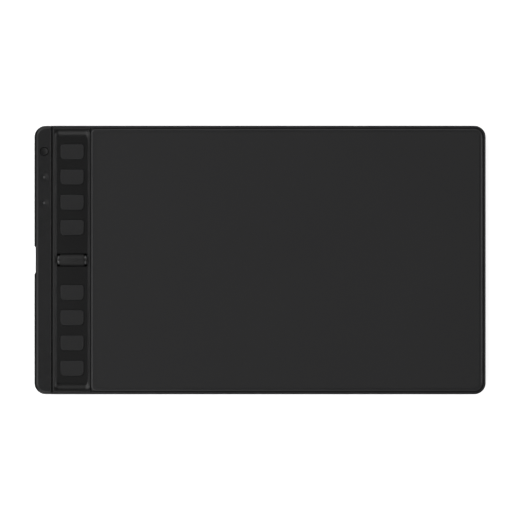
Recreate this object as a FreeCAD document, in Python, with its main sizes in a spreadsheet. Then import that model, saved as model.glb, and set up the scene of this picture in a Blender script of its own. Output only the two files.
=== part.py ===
import FreeCAD, Part

import math
import os
import re

import Sketcher

# Graphics tablet in millimetres, +Z up, standing on its feet at Z 0, origin under its middle.
# X runs along the long side with the key strip at the left, Y towards the far edge.

# Counts
KEY_COUNT = 8
ROW_COUNT = KEY_COUNT // 2
BASIN_STEPS = 8
LONG_RIBS = 4
CROSS_RIBS = 5

# Driving sizes: name, value, meaning
SIZES = [
    ("body_length", 268.2, "overall length along X"),
    ("body_width", 159.6, "overall width along Y"),
    ("corner_radius", 6.7, "corners of the outline"),
    ("plate_height", 8.8, "top of the drawing plate above the table"),
    ("foot_proud", 0.8, "underside of the tablet above the table"),
    ("parting_height", 4.0, "line where the lower and upper shells meet"),
    ("floor_thickness", 1.5, "floor of the lower shell"),
    ("wall_thickness", 1.6, "side walls of both shells"),
    ("floor_round", 1.8, "rounding of the lower outer edge"),
    ("rim_drop", 0.5, "rim of the upper shell below the plate"),
    ("rim_round", 0.9, "rounding of the rim"),
    ("plate_inset", 1.4, "edge of the plate in from the outline"),
    ("plate_gap", 0.15, "gap between the plate and the rim"),
    ("plate_thickness", 1.6, "drawing plate"),
    ("plate_round", 1.5, "rounding of the plate's upper edge"),
    ("plate_corner", 3.3, "left corners of the plate"),
    ("film_depth", 0.25, "writing film, flush in the plate"),
    ("film_inset", 2.2, "edge of the film in from the plate's edge"),
    ("film_gap", 0.1, "gap round the film"),
    ("film_corner", 3.0, "corners of the film's recess"),
    ("ledge_width", 4.2, "ledge that carries the plate and the key panel"),
    ("ledge_thickness", 1.0, "thickness of that ledge"),
    ("beam_seat", 3.2, "how far the plate rests on the beam beside the keys"),
    ("panel_seat", 1.7, "how far the key panel rests on the beam"),
    ("rail_width", 10.1, "side rail along X"),
    ("rail_gap", 0.1, "gap between the rail and the upper shell"),
    ("rail_skin", 1.5, "top skin of the rail"),
    ("rail_wall", 1.7, "outer wall of the rail"),
    ("rail_inner_wall", 0.8, "inner wall of the rail"),
    ("rail_round", 2.4, "rounding of the rail's outer edge"),
    ("rail_inner_round", 0.5, "rounding of the rail's inner edge"),
    ("groove_width", 0.9, "groove between the rail and the key panel"),
    ("groove_depth", 1.8, "floor of the groove below the plate's top"),
    ("spine_thickness", 1.1, "left wall of the upper shell, under the groove"),
    ("panel_width", 22.1, "key panel along X"),
    ("panel_gap", 0.1, "gap between the key panel and the upper shell"),
    ("panel_drop", 0.3, "rim of the key panel below the plate"),
    ("panel_floor", 1.0, "floor of the key panel"),
    ("panel_corner", 0.6, "left corners of the key panel"),
    ("panel_round", 0.65, "rounding of the key panel's left rim"),
    ("seam_width", 0.12, "seam between the key panel and the plate"),
    ("well_depth", 1.4, "floor of the key panel below the plate's top"),
    ("basin_left_land", 0.9, "flat rim left of the basin"),
    ("basin_right_land", 0.15, "flat rim right of the basin"),
    ("basin_end_land", 0.7, "flat rim at the ends of the basin"),
    ("basin_left_run", 1.3, "slope at the left of the basin"),
    ("basin_right_run", 1.15, "slope at the right of the basin"),
    ("basin_end_run", 4.6, "slope at the ends of the basin"),
    ("basin_corner", 1.6, "corners of the basin"),
    ("key_offset", 11.4, "middle of the keys and wheel from the panel's left edge"),
    ("key_length", 14.0, "key cap along X"),
    ("key_width", 9.1, "key cap along Y"),
    ("key_first", 19.3, "middle of the keys next to the wheel"),
    ("key_end_gap", 4.25, "last key from the slope at the basin's end"),
    ("key_gap", 0.2, "gap round a key cap"),
    ("key_rise", 0.9, "key cap above the basin's floor"),
    ("key_far_corner", 1.5, "far corners of a key cap"),
    ("key_near_corner", 2.4, "near corners of a key cap"),
    ("key_round", 0.4, "rounding of a key cap's upper edge"),
    ("key_dish_radius", 60.0, "hollow across a key cap"),
    ("key_dish_drop", 0.03, "ends of that hollow below the cap's height"),
    ("key_flange", 0.75, "flange of a key cap beyond its outline"),
    ("key_flange_thickness", 0.5, "flange of a key cap"),
    ("key_rest_gap", 0.05, "flange below the panel at rest"),
    ("key_post_radius", 1.5, "post under a key cap"),
    ("key_travel", 0.5, "travel of a key"),
    ("key_floor_gap", 0.05, "left under a plunger and a post at full travel"),
    ("switch_size", 5.2, "tactile switch along X and Y"),
    ("switch_body", 0.85, "tactile switch above its board"),
    ("plunger_radius", 0.9, "plunger of a switch"),
    ("plunger_gap", 0.08, "gap round a plunger"),
    ("plunger_length", 0.85, "plunger of a switch"),
    ("board_standoff", 0.6, "standoffs under the key board"),
    ("board_thickness", 1.0, "key board"),
    ("board_edge_gap", 0.3, "key board to the shells beside it"),
    ("board_under_beam", 0.7, "key board below the beam"),
    ("board_end_gap", 6.2, "ends of the key board to the side walls"),
    ("port_tab", 11.0, "half width of the board's tab for the port"),
    ("rail_tab_reach", 4.5, "board's tab in the rail beyond the button and the indicators"),
    ("sensor_thickness", 1.0, "antenna board under the plate"),
    ("sensor_gap", 0.4, "gap round the antenna board"),
    ("shield_thickness", 0.3, "screen under the antenna board"),
    ("shield_setback", 9.4, "screen ends this far right of the beam"),
    ("rib_thickness", 1.2, "ribs on the floor"),
    ("rib_end", 8.0, "ends of the ribs from the walls"),
    ("wheel_radius", 3.8, "grip sleeve of the scroll wheel"),
    ("wheel_proud", 0.5, "top of the wheel above the plate"),
    ("wheel_width", 17.3, "wheel along X"),
    ("wheel_end_gap", 0.3, "gap between the wheel and the ends of its slot"),
    ("wheel_slot_gap", 0.18, "gap between the wheel and the lower edges of its slot"),
    ("wheel_relief_gap", 0.2, "gap under the wheel"),
    ("wheel_rim_width", 1.3, "end rims of the wheel's hub"),
    ("wheel_rim_drop", 0.6, "end rims below the grip sleeve"),
    ("wheel_rim_chamfer", 0.5, "chamfer of the end rims"),
    ("sleeve_thickness", 1.0, "grip sleeve"),
    ("sleeve_fit", 0.02, "sleeve on hub and hub on axle"),
    ("axle_radius", 0.75, "axle of the wheel"),
    ("axle_end_radius", 0.5, "end of the axle in the encoder"),
    ("running_gap", 0.03, "axle in its bearings"),
    ("encoder_thickness", 2.0, "encoder along X"),
    ("encoder_width", 6.2, "encoder along Y"),
    ("encoder_wall", 0.5, "wall of the encoder behind the axle's end"),
    ("bearing_thickness", 1.4, "saddle of the axle along X"),
    ("bearing_width", 4.8, "saddle of the axle along Y"),
    ("bearing_gap", 0.25, "wheel to the saddle and to the encoder"),
    ("under_panel_gap", 0.1, "saddle and encoder below the key panel"),
    ("mark_inset", 5.9, "button and indicators in from the left edge"),
    ("mark_end_gap", 13.7, "button from the side wall"),
    ("mark_pitch", 15.3, "button to indicators"),
    ("group_key_radius", 2.45, "round button"),
    ("group_key_gap", 0.2, "gap round the button"),
    ("group_key_sunk", 0.2, "button below the rail's top"),
    ("group_key_dish", 0.18, "hollow in the button"),
    ("group_key_lip", 0.35, "lip round that hollow"),
    ("group_flange_length", 8.0, "flange of the button along Y"),
    ("group_flange_width", 5.2, "flange of the button along X"),
    ("group_flange_thickness", 0.6, "flange of the button"),
    ("lens_radius", 0.65, "tip of a light guide"),
    ("lens_gap", 0.05, "gap round the tip of a light guide"),
    ("lens_flange_radius", 1.6, "flange of a light guide"),
    ("lens_flange_thickness", 0.6, "flange of a light guide"),
    ("dish_radius", 2.75, "shallow dish round an indicator"),
    ("dish_depth", 0.12, "depth of that dish"),
    ("led_length", 1.6, "light source along Y"),
    ("led_width", 0.8, "light source along X"),
    ("led_height", 0.6, "light source"),
    ("led_gap", 0.3, "light source to light guide"),
    ("notch_outer", 17.0, "notch for the port at the outline"),
    ("notch_inner", 15.0, "notch for the port at its floor"),
    ("notch_depth", 0.8, "notch for the port"),
    ("port_width", 8.94, "shell of the port along Y"),
    ("port_height", 3.26, "shell of the port along Z"),
    ("port_depth", 7.35, "shell of the port along X"),
    ("port_wall", 0.3, "wall of the port's shell"),
    ("port_recess", 0.25, "mouth of the port behind the notch's floor"),
    ("port_clear", 0.32, "opening round the port"),
    ("tongue_width", 6.69, "contact tongue along Y"),
    ("tongue_thickness", 0.7, "contact tongue"),
    ("tongue_length", 4.45, "contact tongue"),
    ("tongue_fit", 0.03, "insulator in the port's shell"),
    ("screw_shank_radius", 0.95, "shank of a housing screw"),
    ("screw_pilot_gap", 0.05, "pilot hole round the shank"),
    ("screw_hole_gap", 0.15, "clearance hole round the shank"),
    ("screw_head_radius", 1.9, "head of a housing screw"),
    ("screw_head_height", 1.0, "head of a housing screw"),
    ("screw_head_gap", 0.2, "recess round the head"),
    ("screw_head_depth", 1.4, "depth of the recess for the head"),
    ("screw_reach", 2.6, "shank above the parting line"),
    ("screw_tip_gap", 0.2, "pilot hole beyond the tip"),
    ("recess_width", 0.5, "bars of the cross recess"),
    ("recess_share", 0.6, "cross recess as a share of the head's width"),
    ("upper_boss_radius", 2.1, "screw bosses of the upper shell and rail"),
    ("lower_boss_radius", 2.8, "screw bosses of the lower shell"),
    ("boss_bite", 0.2, "upper bosses into the side walls"),
    ("boss_beam_gap", 5.4, "left pair of screws from the beam"),
    ("boss_end_gap", 10.5, "right pair of screws from the side wall"),
    ("rail_boss_gap", 2.1, "bosses next to the port from the board's tab"),
    ("rail_boss_end_gap", 4.7, "end screws of the rail from the side wall"),
    ("small_shank_radius", 0.6, "shank of a board screw"),
    ("small_head_radius", 1.3, "head of a board screw"),
    ("small_head_height", 0.7, "head of a board screw"),
    ("small_hole_gap", 0.1, "clearance hole round a board screw"),
    ("small_pilot_gap", 0.05, "pilot hole round a board screw"),
    ("small_reach", 1.3, "board screw below its board"),
    ("small_standoff_radius", 2.0, "standoff of a board screw"),
    ("panel_screw_reach", 0.8, "panel screw above the ledge"),
    ("panel_screw_spread", 5.5, "panel screws from the middle of the keys"),
    ("foot_length", 34.0, "rubber foot along X"),
    ("foot_width", 9.0, "rubber foot along Y"),
    ("foot_sunk", 0.4, "foot into the floor"),
    ("foot_gap", 0.1, "gap round a foot"),
    ("foot_round", 0.3, "rounding of a foot's lower edge"),
    ("foot_side_gap", 20.5, "middle of a foot from the left or right wall"),
    ("foot_end_gap", 12.2, "middle of a foot from the near or far wall"),
    ("chip_height", 0.9, "larger packages"),
    ("controller_size", 6.0, "controller package"),
    ("driver_size", 4.0, "driver package"),
    ("chip_setback", 4.5, "packages left of the middle of the keys"),
    ("controller_setback", 1.0, "controller beyond the board screw beside it"),
    ("passive_length", 1.6, "small parts along X"),
    ("passive_width", 0.8, "small parts along Y"),
    ("passive_height", 0.5, "small parts"),
    ("passive_pitch", 2.4, "distance between small parts"),
    ("connector_length", 16.0, "ribbon socket along Y"),
    ("connector_width", 2.4, "ribbon socket along X"),
    ("connector_height", 1.0, "ribbon socket"),
    ("ribbon_width", 14.0, "ribbon along Y"),
    ("ribbon_thickness", 0.2, "ribbon"),
    ("ribbon_low_run", 0.4, "ribbon level below the beam's edge"),
    ("ribbon_high_run", 0.8, "ribbon level before the upper socket"),
    ("socket_setback", 3.4, "upper ribbon socket from the beam"),
]

# Heights and places that follow from the driving sizes
RULES = {
    "left": "-body_length / 2",
    "right": "body_length / 2",
    "near": "-body_width / 2",
    "far": "body_width / 2",
    "floor_top": "foot_proud + floor_thickness",
    "rim_top": "plate_height - rim_drop",
    "plate_under": "plate_height - plate_thickness",
    "plate_ledge_under": "plate_under - ledge_thickness",
    "well_floor": "plate_height - well_depth",
    "panel_top": "plate_height - panel_drop",
    "panel_under": "well_floor - panel_floor",
    "panel_ledge_under": "panel_under - ledge_thickness",
    "groove_floor": "plate_height - groove_depth",
    "sensor_under": "plate_under - sensor_thickness",
    "shield_under": "sensor_under - shield_thickness",
    "board_under": "floor_top + board_standoff",
    "board_top": "board_under + board_thickness",
    "rail_right": "left + rail_width",
    "cover_left": "rail_right + rail_gap",
    "panel_left": "rail_right + groove_width",
    "panel_right": "panel_left + panel_width",
    "plate_left": "panel_right + seam_width",
    "plate_right": "right - plate_inset",
    "plate_far": "far - plate_inset",
    "inner_right": "right - wall_thickness",
    "inner_far": "far - wall_thickness",
    "ledge_right": "inner_right - ledge_width",
    "ledge_far": "inner_far - ledge_width",
    "beam_left": "panel_right - panel_seat",
    "beam_step": "panel_right + panel_gap",
    "beam_right": "plate_left + beam_seat",
    "spine_right": "cover_left + spine_thickness",
    "key_x": "panel_left + key_offset",
    "key_last": "plate_far - basin_end_land - basin_end_run - key_end_gap - key_width / 2",
    "key_pitch": f"(key_last - key_first) / {ROW_COUNT - 1}",
    "key_top": "well_floor + key_rise",
    "key_flange_top": "panel_under - key_rest_gap",
    "key_flange_under": "key_flange_top - key_flange_thickness",
    "switch_top": "board_top + switch_body",
    "plunger_under": "board_top + key_travel + key_floor_gap",
    "plunger_top": "plunger_under + plunger_length",
    "wheel_z": "plate_height + wheel_proud - wheel_radius",
    "wheel_left": "key_x - wheel_width / 2",
    "wheel_right": "key_x + wheel_width / 2",
    "slot_half": "sqrt(wheel_radius^2 - (panel_under - wheel_z)^2) + wheel_slot_gap",
    "slot_left": "wheel_left - wheel_end_gap",
    "slot_right": "wheel_right + wheel_end_gap",
    "slot_to_key": "key_first - key_width / 2 - key_flange - slot_half",
    "beside_slot": "slot_half + slot_to_key / 2",
    "hub_radius": "wheel_radius - sleeve_thickness",
    "rim_radius": "wheel_radius - wheel_rim_drop",
    "encoder_right": "wheel_left - bearing_gap",
    "encoder_left": "encoder_right - encoder_thickness",
    "bearing_left": "wheel_right + bearing_gap",
    "bearing_right": "bearing_left + bearing_thickness",
    "bearing_top": "panel_under - under_panel_gap",
    "mark_x": "left + mark_inset",
    "mark_first": "inner_far - mark_end_gap",
    "rail_under": "plate_height - rail_skin",
    "rail_middle": "(left + rail_wall + rail_right - rail_inner_wall) / 2",
    "rail_tab_left": "left + wall_thickness + board_edge_gap",
    "rail_tab_high": "mark_first + rail_tab_reach",
    "rail_tab_low": "mark_first - 2 * mark_pitch - rail_tab_reach",
    "board_left": "spine_right + board_edge_gap",
    "board_end": "inner_far - board_end_gap",
    "board_right": "beam_left + board_under_beam",
    "group_top": "plate_height - group_key_sunk",
    "group_flange_top": "rail_under - key_rest_gap",
    "group_flange_under": "group_flange_top - group_flange_thickness",
    "port_left": "left + notch_depth + port_recess",
    "port_right": "port_left + port_depth",
    "port_z": "board_top + port_height / 2",
    "port_screw": "port_width / 2 + small_head_radius + 2 * board_edge_gap",
    "boss_y": "inner_far - upper_boss_radius + boss_bite",
    "boss_left": "beam_right + boss_beam_gap",
    "boss_right": "inner_right - boss_end_gap",
    "boss_middle": "(boss_left + boss_right) / 2",
    "rail_boss_first": "rail_tab_low - lower_boss_radius - rail_boss_gap",
    "rail_boss_last": "inner_far - rail_boss_end_gap",
    "foot_middle_x": "inner_right - foot_side_gap",
    "foot_middle_y": "inner_far - foot_end_gap",
    "rib_left": "sensor_left + shield_setback",
    "rib_right": "inner_right - rib_end",
    "rib_far": "inner_far - rib_end",
    "cross_rib_first": "rib_left + rib_end",
    "cross_rib_pitch": f"(rib_right - rib_end - cross_rib_first) / {CROSS_RIBS - 1}",
    "long_rib_pitch": f"2 * (rib_far - rib_end) / {LONG_RIBS - 1}",
    "screw_head_top": "foot_proud + screw_head_depth",
    "screw_tip": "parting_height + screw_reach",
    "panel_screw_y": "ledge_far + ledge_width / 2",
    "connector_right": "board_right - board_edge_gap",
    "sensor_left": "beam_right + sensor_gap",
    "upper_socket_left": "beam_right + socket_setback",
    "ribbon_middle": "-key_first - 5 / 2 * key_pitch",
    "ribbon_z": "board_top + connector_height / 2",
    "ribbon_high": "sensor_under - connector_height / 2",
}

SIZE_NAMES = {name for name, value, note in SIZES}
WORD = re.compile(r"[a-z][a-z_]*")
TINY = 1e-4

doc = FreeCAD.newDocument("GraphicsTablet")
sheet = doc.addObject("Spreadsheet::Sheet", "Sizes")


def fill_sheet():
    """Writes the driving sizes into the sheet, one row each, with an alias for every value."""
    for row, (name, value, note) in enumerate(SIZES, 1):
        sheet.set(f"A{row}", name)
        sheet.set(f"B{row}", str(value))
        sheet.setAlias(f"B{row}", name)
        sheet.set(f"C{row}", note)
    doc.recompute()


def expression(text):
    """Writes a rule out in full, down to the cells of the sheet."""

    def word(match):
        found = match.group()
        if found in RULES:
            return f"({expression(RULES[found])})"
        return f"Sizes.{found}" if found in SIZE_NAMES else found

    return WORD.sub(word, str(text))


def number(text):
    """Gives the present value of a rule."""
    return float(sheet.evalExpression(expression(text)))


def bind(thing, what, text):
    """Ties a property or a constraint to the sheet."""
    thing.setExpression(what, expression(text))


# Sketch helpers


def sketch_on(body, name, role, offset):
    """Opens a sketch on one of the body's origin planes, moved along the plane's normal."""
    plane = next(item for item in body.Origin.OriginFeatures if item.Role == role)
    sketch = body.newObject("Sketcher::SketchObject", name)
    sketch.AttachmentSupport = [(plane, "")]
    sketch.MapMode = "FlatFace"
    bind(sketch, "AttachmentOffset.Base.z", offset)
    return sketch


def place(sketch, kind, item, point, text):
    """Fixes a point's distance from the sketch's origin."""
    index = sketch.addConstraint(Sketcher.Constraint(kind, -1, 1, item, point, number(text)))
    bind(sketch, f"Constraints[{index}]", text)


def size_round(sketch, item, text):
    """Fixes the radius of an arc or a circle."""
    index = sketch.addConstraint(Sketcher.Constraint("Radius", item, number(text)))
    bind(sketch, f"Constraints[{index}]", text)


def polygon(sketch, corners):
    """Draws a closed outline of straight lines through corners given as pairs of rules."""
    points = [FreeCAD.Vector(number(x), number(y), 0) for x, y in corners]
    first = sketch.GeometryCount
    for index, point in enumerate(points):
        sketch.addGeometry(Part.LineSegment(point, points[(index + 1) % len(points)]), False)
    for index, (x, y) in enumerate(corners):
        after = (index + 1) % len(corners)
        sketch.addConstraint(Sketcher.Constraint("Coincident", first + index, 2, first + after, 1))
        place(sketch, "DistanceX", first + index, 1, x)
        place(sketch, "DistanceY", first + index, 1, y)


def rounded(sketch, low_x, low_y, high_x, high_y, radii):
    """Draws a rectangle; radii go round from the right near corner, None leaves one sharp."""
    x0, y0, x1, y1 = (number(text) for text in (low_x, low_y, high_x, high_y))
    corners = [(x1, y0), (x1, y1), (x0, y1), (x0, y0)]
    steps = [(1, 0), (0, 1), (-1, 0), (0, -1)]
    turns = [number(text) if text else 0.0 for text in radii]
    first = sketch.GeometryCount
    for side, (dx, dy) in enumerate(steps):
        (ax, ay), (bx, by) = corners[side - 1], corners[side]
        start = FreeCAD.Vector(ax + dx * turns[side - 1], ay + dy * turns[side - 1], 0)
        end = FreeCAD.Vector(bx - dx * turns[side], by - dy * turns[side], 0)
        sketch.addGeometry(Part.LineSegment(start, end), False)
    for side, (kind, axis, text) in enumerate(
        (
            ("Horizontal", "DistanceY", low_y),
            ("Vertical", "DistanceX", high_x),
            ("Horizontal", "DistanceY", high_y),
            ("Vertical", "DistanceX", low_x),
        )
    ):
        sketch.addConstraint(Sketcher.Constraint(kind, first + side))
        place(sketch, axis, first + side, 1, text)
    for side, radius in enumerate(radii):
        after = (side + 1) % len(radii)
        if not radius:
            corner = Sketcher.Constraint("Coincident", first + side, 2, first + after, 1)
            sketch.addConstraint(corner)
            continue
        (x, y), (dx, dy), (ex, ey) = corners[side], steps[side], steps[after]
        turn = turns[side]
        middle = FreeCAD.Vector(x - dx * turn + ex * turn, y - dy * turn + ey * turn, 0)
        angle = math.radians(90 * (side - 1))
        circle = Part.Circle(middle, FreeCAD.Vector(0, 0, 1), turn)
        arc = sketch.addGeometry(Part.ArcOfCircle(circle, angle, angle + math.pi / 2), False)
        sketch.addConstraint(Sketcher.Constraint("Tangent", first + side, 2, arc, 1))
        sketch.addConstraint(Sketcher.Constraint("Tangent", arc, 2, first + after, 1))
        size_round(sketch, arc, radius)


def rectangle(sketch, low_x, low_y, high_x, high_y):
    """Draws a rectangle with sharp corners."""
    rounded(sketch, low_x, low_y, high_x, high_y, (None, None, None, None))


def rectangles(sketch, middles, length, width):
    """Draws equal rectangles round the middles given as pairs of rules."""
    for x, y in middles:
        low_x, high_x = f"{x} - ({length}) / 2", f"{x} + ({length}) / 2"
        rectangle(sketch, low_x, f"{y} - ({width}) / 2", high_x, f"{y} + ({width}) / 2")


def circles(sketch, middles, radius):
    """Draws equal circles round the middles given as pairs of rules."""
    for x, y in middles:
        centre = FreeCAD.Vector(number(x), number(y), 0)
        circle = Part.Circle(centre, FreeCAD.Vector(0, 0, 1), number(radius))
        item = sketch.addGeometry(circle, False)
        place(sketch, "DistanceX", item, 3, x)
        place(sketch, "DistanceY", item, 3, y)
        size_round(sketch, item, radius)


def stadium(sketch, x, y, length, width):
    """Draws a slot with round ends along the sketch's horizontal axis."""
    reach = f"(({length}) - ({width})) / 2"
    radius = f"({width}) / 2"
    mx, my, half, turn = number(x), number(y), number(reach), number(radius)
    first = sketch.GeometryCount
    for side in (-1, 1):
        start = FreeCAD.Vector(mx + side * half, my + side * turn, 0)
        end = FreeCAD.Vector(mx - side * half, my + side * turn, 0)
        sketch.addGeometry(Part.LineSegment(start, end), False)
    for side in (-1, 1):
        centre = FreeCAD.Vector(mx + side * half, my, 0)
        circle = Part.Circle(centre, FreeCAD.Vector(0, 0, 1), turn)
        start = math.pi / 2 if side < 0 else -math.pi / 2
        sketch.addGeometry(Part.ArcOfCircle(circle, start, start + math.pi), False)
    near, upper, left_arc, right_arc = range(first, first + 4)
    for one, end, other, point in (
        (near, 2, right_arc, 1),
        (right_arc, 2, upper, 1),
        (upper, 2, left_arc, 1),
        (left_arc, 2, near, 1),
    ):
        sketch.addConstraint(Sketcher.Constraint("Tangent", one, end, other, point))
    for arc, sign in ((left_arc, "-"), (right_arc, "+")):
        place(sketch, "DistanceX", arc, 3, f"{x} {sign} {reach}")
        place(sketch, "DistanceY", arc, 3, y)
    size_round(sketch, right_arc, radius)


# Feature helpers


def new_body(label):
    """Starts a sub-part; its label names its file."""
    body = doc.addObject("PartDesign::Body", label)
    body.Label = label
    body.AllowCompound = True
    return body


def volume_of(body):
    """Gives the body's volume so far."""
    return body.Shape.Volume if body.Tip and not body.Shape.isNull() else 0.0


def settle(body, feature, before, sign):
    """Recomputes and makes sure that the feature added to the body or took from it."""
    body.Tip = feature
    doc.recompute()
    change = (volume_of(body) - before) * sign
    if change <= 0:
        raise RuntimeError(f"{body.Label}: {feature.Name} changed nothing")
    return feature


def prism(body, kind, name, role, offset, length, shape, sizes):
    """Makes a pad or a pocket of the sketch that the shape function draws."""
    before = volume_of(body)
    sketch = sketch_on(body, f"{name}_sketch", role, offset)
    shape(sketch, *sizes)
    feature = body.newObject(f"PartDesign::{kind}", name)
    feature.Profile = sketch
    bind(feature, "Length", length)
    return settle(body, feature, before, 1 if kind == "Pad" else -1)


def pad(body, name, low, high, shape, *sizes, role="XY_Plane"):
    """Adds a prism from low to high along the plane's normal."""
    return prism(body, "Pad", name, role, low, f"({high}) - ({low})", shape, sizes)


def cut(body, name, low, high, shape, *sizes, role="XY_Plane"):
    """Cuts a prism from high down to low along the plane's normal."""
    return prism(body, "Pocket", name, role, high, f"({high}) - ({low})", shape, sizes)


def turned(body, name, corners, axis="H_Axis"):
    """Revolves an outline round the body's X axis, or round its Z axis for V_Axis."""
    before = volume_of(body)
    sketch = sketch_on(body, f"{name}_sketch", "XZ_Plane", "0")
    polygon(sketch, corners)
    feature = body.newObject("PartDesign::Revolution", name)
    feature.Profile = sketch
    feature.ReferenceAxis = (sketch, [axis])
    feature.Angle = 360
    return settle(body, feature, before, 1)


def row(body, feature, axis, pitch, count):
    """Repeats a feature along its sketch's H_Axis or V_Axis."""
    before = volume_of(body)
    sign = 1 if feature.TypeId == "PartDesign::Pad" else -1
    pattern = body.newObject("PartDesign::LinearPattern", f"{feature.Name}_row")
    pattern.Originals = [feature]
    pattern.Direction = (feature.Profile[0], [axis])
    pattern.Mode = "Spacing"
    bind(pattern, "Offset", pitch)
    pattern.Occurrences = count
    body.Tip = pattern
    return settle(body, pattern, before, sign)


def fillet(body, name, radius, wanted):
    """Rounds the edges of the body for which wanted(edge) is true."""
    base = body.Tip
    before = body.Shape.Volume
    chosen = [f"Edge{n}" for n, edge in enumerate(base.Shape.Edges, 1) if wanted(edge)]
    feature = body.newObject("PartDesign::Fillet", name)
    feature.Base = (base, chosen)
    bind(feature, "Radius", radius)
    doc.recompute()
    if not chosen or abs(body.Shape.Volume - before) < TINY:
        raise RuntimeError(f"{body.Label}: {name} rounded nothing")
    return feature


def cone_cut(body, name, x, y, low, high, low_radius, high_radius):
    """Cuts a cone that stands upright in the body."""
    before = volume_of(body)
    feature = body.newObject("PartDesign::SubtractiveCone", name)
    bind(feature, "Radius1", low_radius)
    bind(feature, "Radius2", high_radius)
    bind(feature, "Height", f"({high}) - ({low})")
    bind(feature, "Placement.Base.x", x)
    bind(feature, "Placement.Base.y", y)
    bind(feature, "Placement.Base.z", low)
    return settle(body, feature, before, -1)


def at_height(text, inside=None):
    """Chooses level edges at one height; inside(box) may narrow the choice."""
    height = number(text)

    def wanted(edge):
        box = edge.BoundBox
        level = abs(box.ZMin - height) < TINY and abs(box.ZMax - height) < TINY
        return level and (inside is None or inside(box))

    return wanted


def left_of(text):
    """Chooses edges that begin left of an X value."""
    limit = number(text)
    return lambda box: box.XMin < limit - TINY


def upto(text):
    """Chooses edges that end at or before an X value."""
    limit = number(text)
    return lambda box: box.XMax < limit + TINY


def right_of(text):
    """Chooses edges that end right of an X value."""
    limit = number(text)
    return lambda box: box.XMax > limit + TINY


# Places of what repeats

HOUSING_SCREWS = [
    (x, f"{sign}boss_y") for x in ("boss_left", "boss_middle", "boss_right") for sign in ("-", "")
]
RAIL_SCREWS = [
    ("rail_middle", f"{sign}{y}") for y in ("rail_boss_first", "rail_boss_last") for sign in ("-", "")
]
BOARD_SCREWS = [
    ("key_x", "-board_end + small_head_radius + board_edge_gap"),
    ("key_x", "board_end - small_head_radius - board_edge_gap"),
    ("key_x + panel_screw_spread", "-beside_slot"),
    ("key_x + panel_screw_spread", "beside_slot"),
    ("rail_middle", "-port_screw"),
    ("rail_middle", "port_screw"),
]
PANEL_SCREWS = [
    (f"key_x {side} panel_screw_spread", f"{sign}panel_screw_y") for side in "+-" for sign in ("-", "")
]
KEY_ROWS = [f"key_first + {step} * key_pitch" for step in range(ROW_COUNT - 1, -1, -1)]
KEY_PLACES = KEY_ROWS + [f"-({text})" for text in reversed(KEY_ROWS)]
SWITCHES = [("key_x", y) for y in KEY_PLACES] + [("mark_x", "mark_first")]
LENS_PLACES = ["mark_first - mark_pitch", "mark_first - 2 * mark_pitch"]
FEET = {
    "foot_front_left": ("-foot_middle_x", "-foot_middle_y"),
    "foot_front_right": ("foot_middle_x", "-foot_middle_y"),
    "foot_back_left": ("-foot_middle_x", "foot_middle_y"),
    "foot_back_right": ("foot_middle_x", "foot_middle_y"),
}
NOTCH = [
    ("left - wall_thickness", "-notch_outer / 2"),
    ("left", "-notch_outer / 2"),
    ("left + notch_depth", "-notch_inner / 2"),
    ("left + notch_depth", "notch_inner / 2"),
    ("left", "notch_outer / 2"),
    ("left - wall_thickness", "notch_outer / 2"),
]
PORT_OPENING = ("0", "port_z", "port_width + 2 * port_clear", "port_height + 2 * port_clear")


# Shells


def bottom_cover():
    """Lower shell: floor, walls, ribs, bosses, standoffs and recesses."""
    body = new_body("bottom_cover")
    everywhere = ("corner_radius",) * 4
    inner = ("corner_radius - wall_thickness",) * 4
    outline = ("left", "near", "right", "far", everywhere)
    pad(body, "shell", "foot_proud", "parting_height", rounded, *outline)
    fillet(body, "lower_edge", "floor_round", at_height("foot_proud"))
    inner_box = ("-inner_right", "-inner_far", "inner_right", "inner_far")
    cut(body, "tray", "floor_top", "parting_height", rounded, *inner_box, inner)
    screws = HOUSING_SCREWS + RAIL_SCREWS
    pad(body, "bosses", "floor_top", "parting_height", circles, screws, "lower_boss_radius")
    standoffs = (BOARD_SCREWS, "small_standoff_radius")
    pad(body, "standoffs", "floor_top", "board_under", circles, *standoffs)
    hole = "screw_shank_radius + screw_hole_gap"
    cut(body, "screw_holes", "foot_proud", "parting_height", circles, screws, hole)
    head = "screw_head_radius + screw_head_gap"
    cut(body, "head_recesses", "foot_proud", "screw_head_top", circles, screws, head)
    pilot = "small_shank_radius + small_pilot_gap"
    depth = "board_under - small_reach - screw_tip_gap"
    cut(body, "board_pilots", depth, "board_under", circles, BOARD_SCREWS, pilot)
    relief = ([("0", "wheel_z")], "wheel_radius + wheel_relief_gap")
    cut(body, "wheel_relief", "slot_left", "slot_right", circles, *relief, role="YZ_Plane")
    for name, (x, y) in FEET.items():
        slot = (x, y, "foot_length + 2 * foot_gap", "foot_width + 2 * foot_gap")
        cut(body, f"{name}_recess", "foot_proud", "foot_proud + foot_sunk", stadium, *slot)
    cut(body, "notch", "foot_proud", "parting_height", polygon, NOTCH)
    opening = ("left", "left + wall_thickness + board_edge_gap", stadium, *PORT_OPENING)
    cut(body, "port_opening", *opening, role="YZ_Plane")
    first_y = f"-{LONG_RIBS - 1} / 2 * long_rib_pitch"
    along = ("rib_left", f"{first_y} - rib_thickness / 2", "rib_right", f"{first_y} + rib_thickness / 2")
    long_rib = pad(body, "long_rib", "floor_top", "shield_under", rectangle, *along)
    row(body, long_rib, "V_Axis", "long_rib_pitch", LONG_RIBS)
    across = ("cross_rib_first", "-rib_far", "cross_rib_first + rib_thickness", "rib_far")
    cross_rib = pad(body, "cross_rib", "floor_top", "shield_under", rectangle, *across)
    row(body, cross_rib, "H_Axis", "cross_rib_pitch", CROSS_RIBS)
    beam_middle = "(beam_step + beam_right) / 2"
    rib_low, rib_high = f"{beam_middle} - rib_thickness / 2", f"{beam_middle} + rib_thickness / 2"
    beam_rib = (rib_low, "-key_first - key_pitch", rib_high, "rib_far")
    pad(body, "beam_rib", "floor_top", "panel_ledge_under", rectangle, *beam_rib)
    return body


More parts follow.
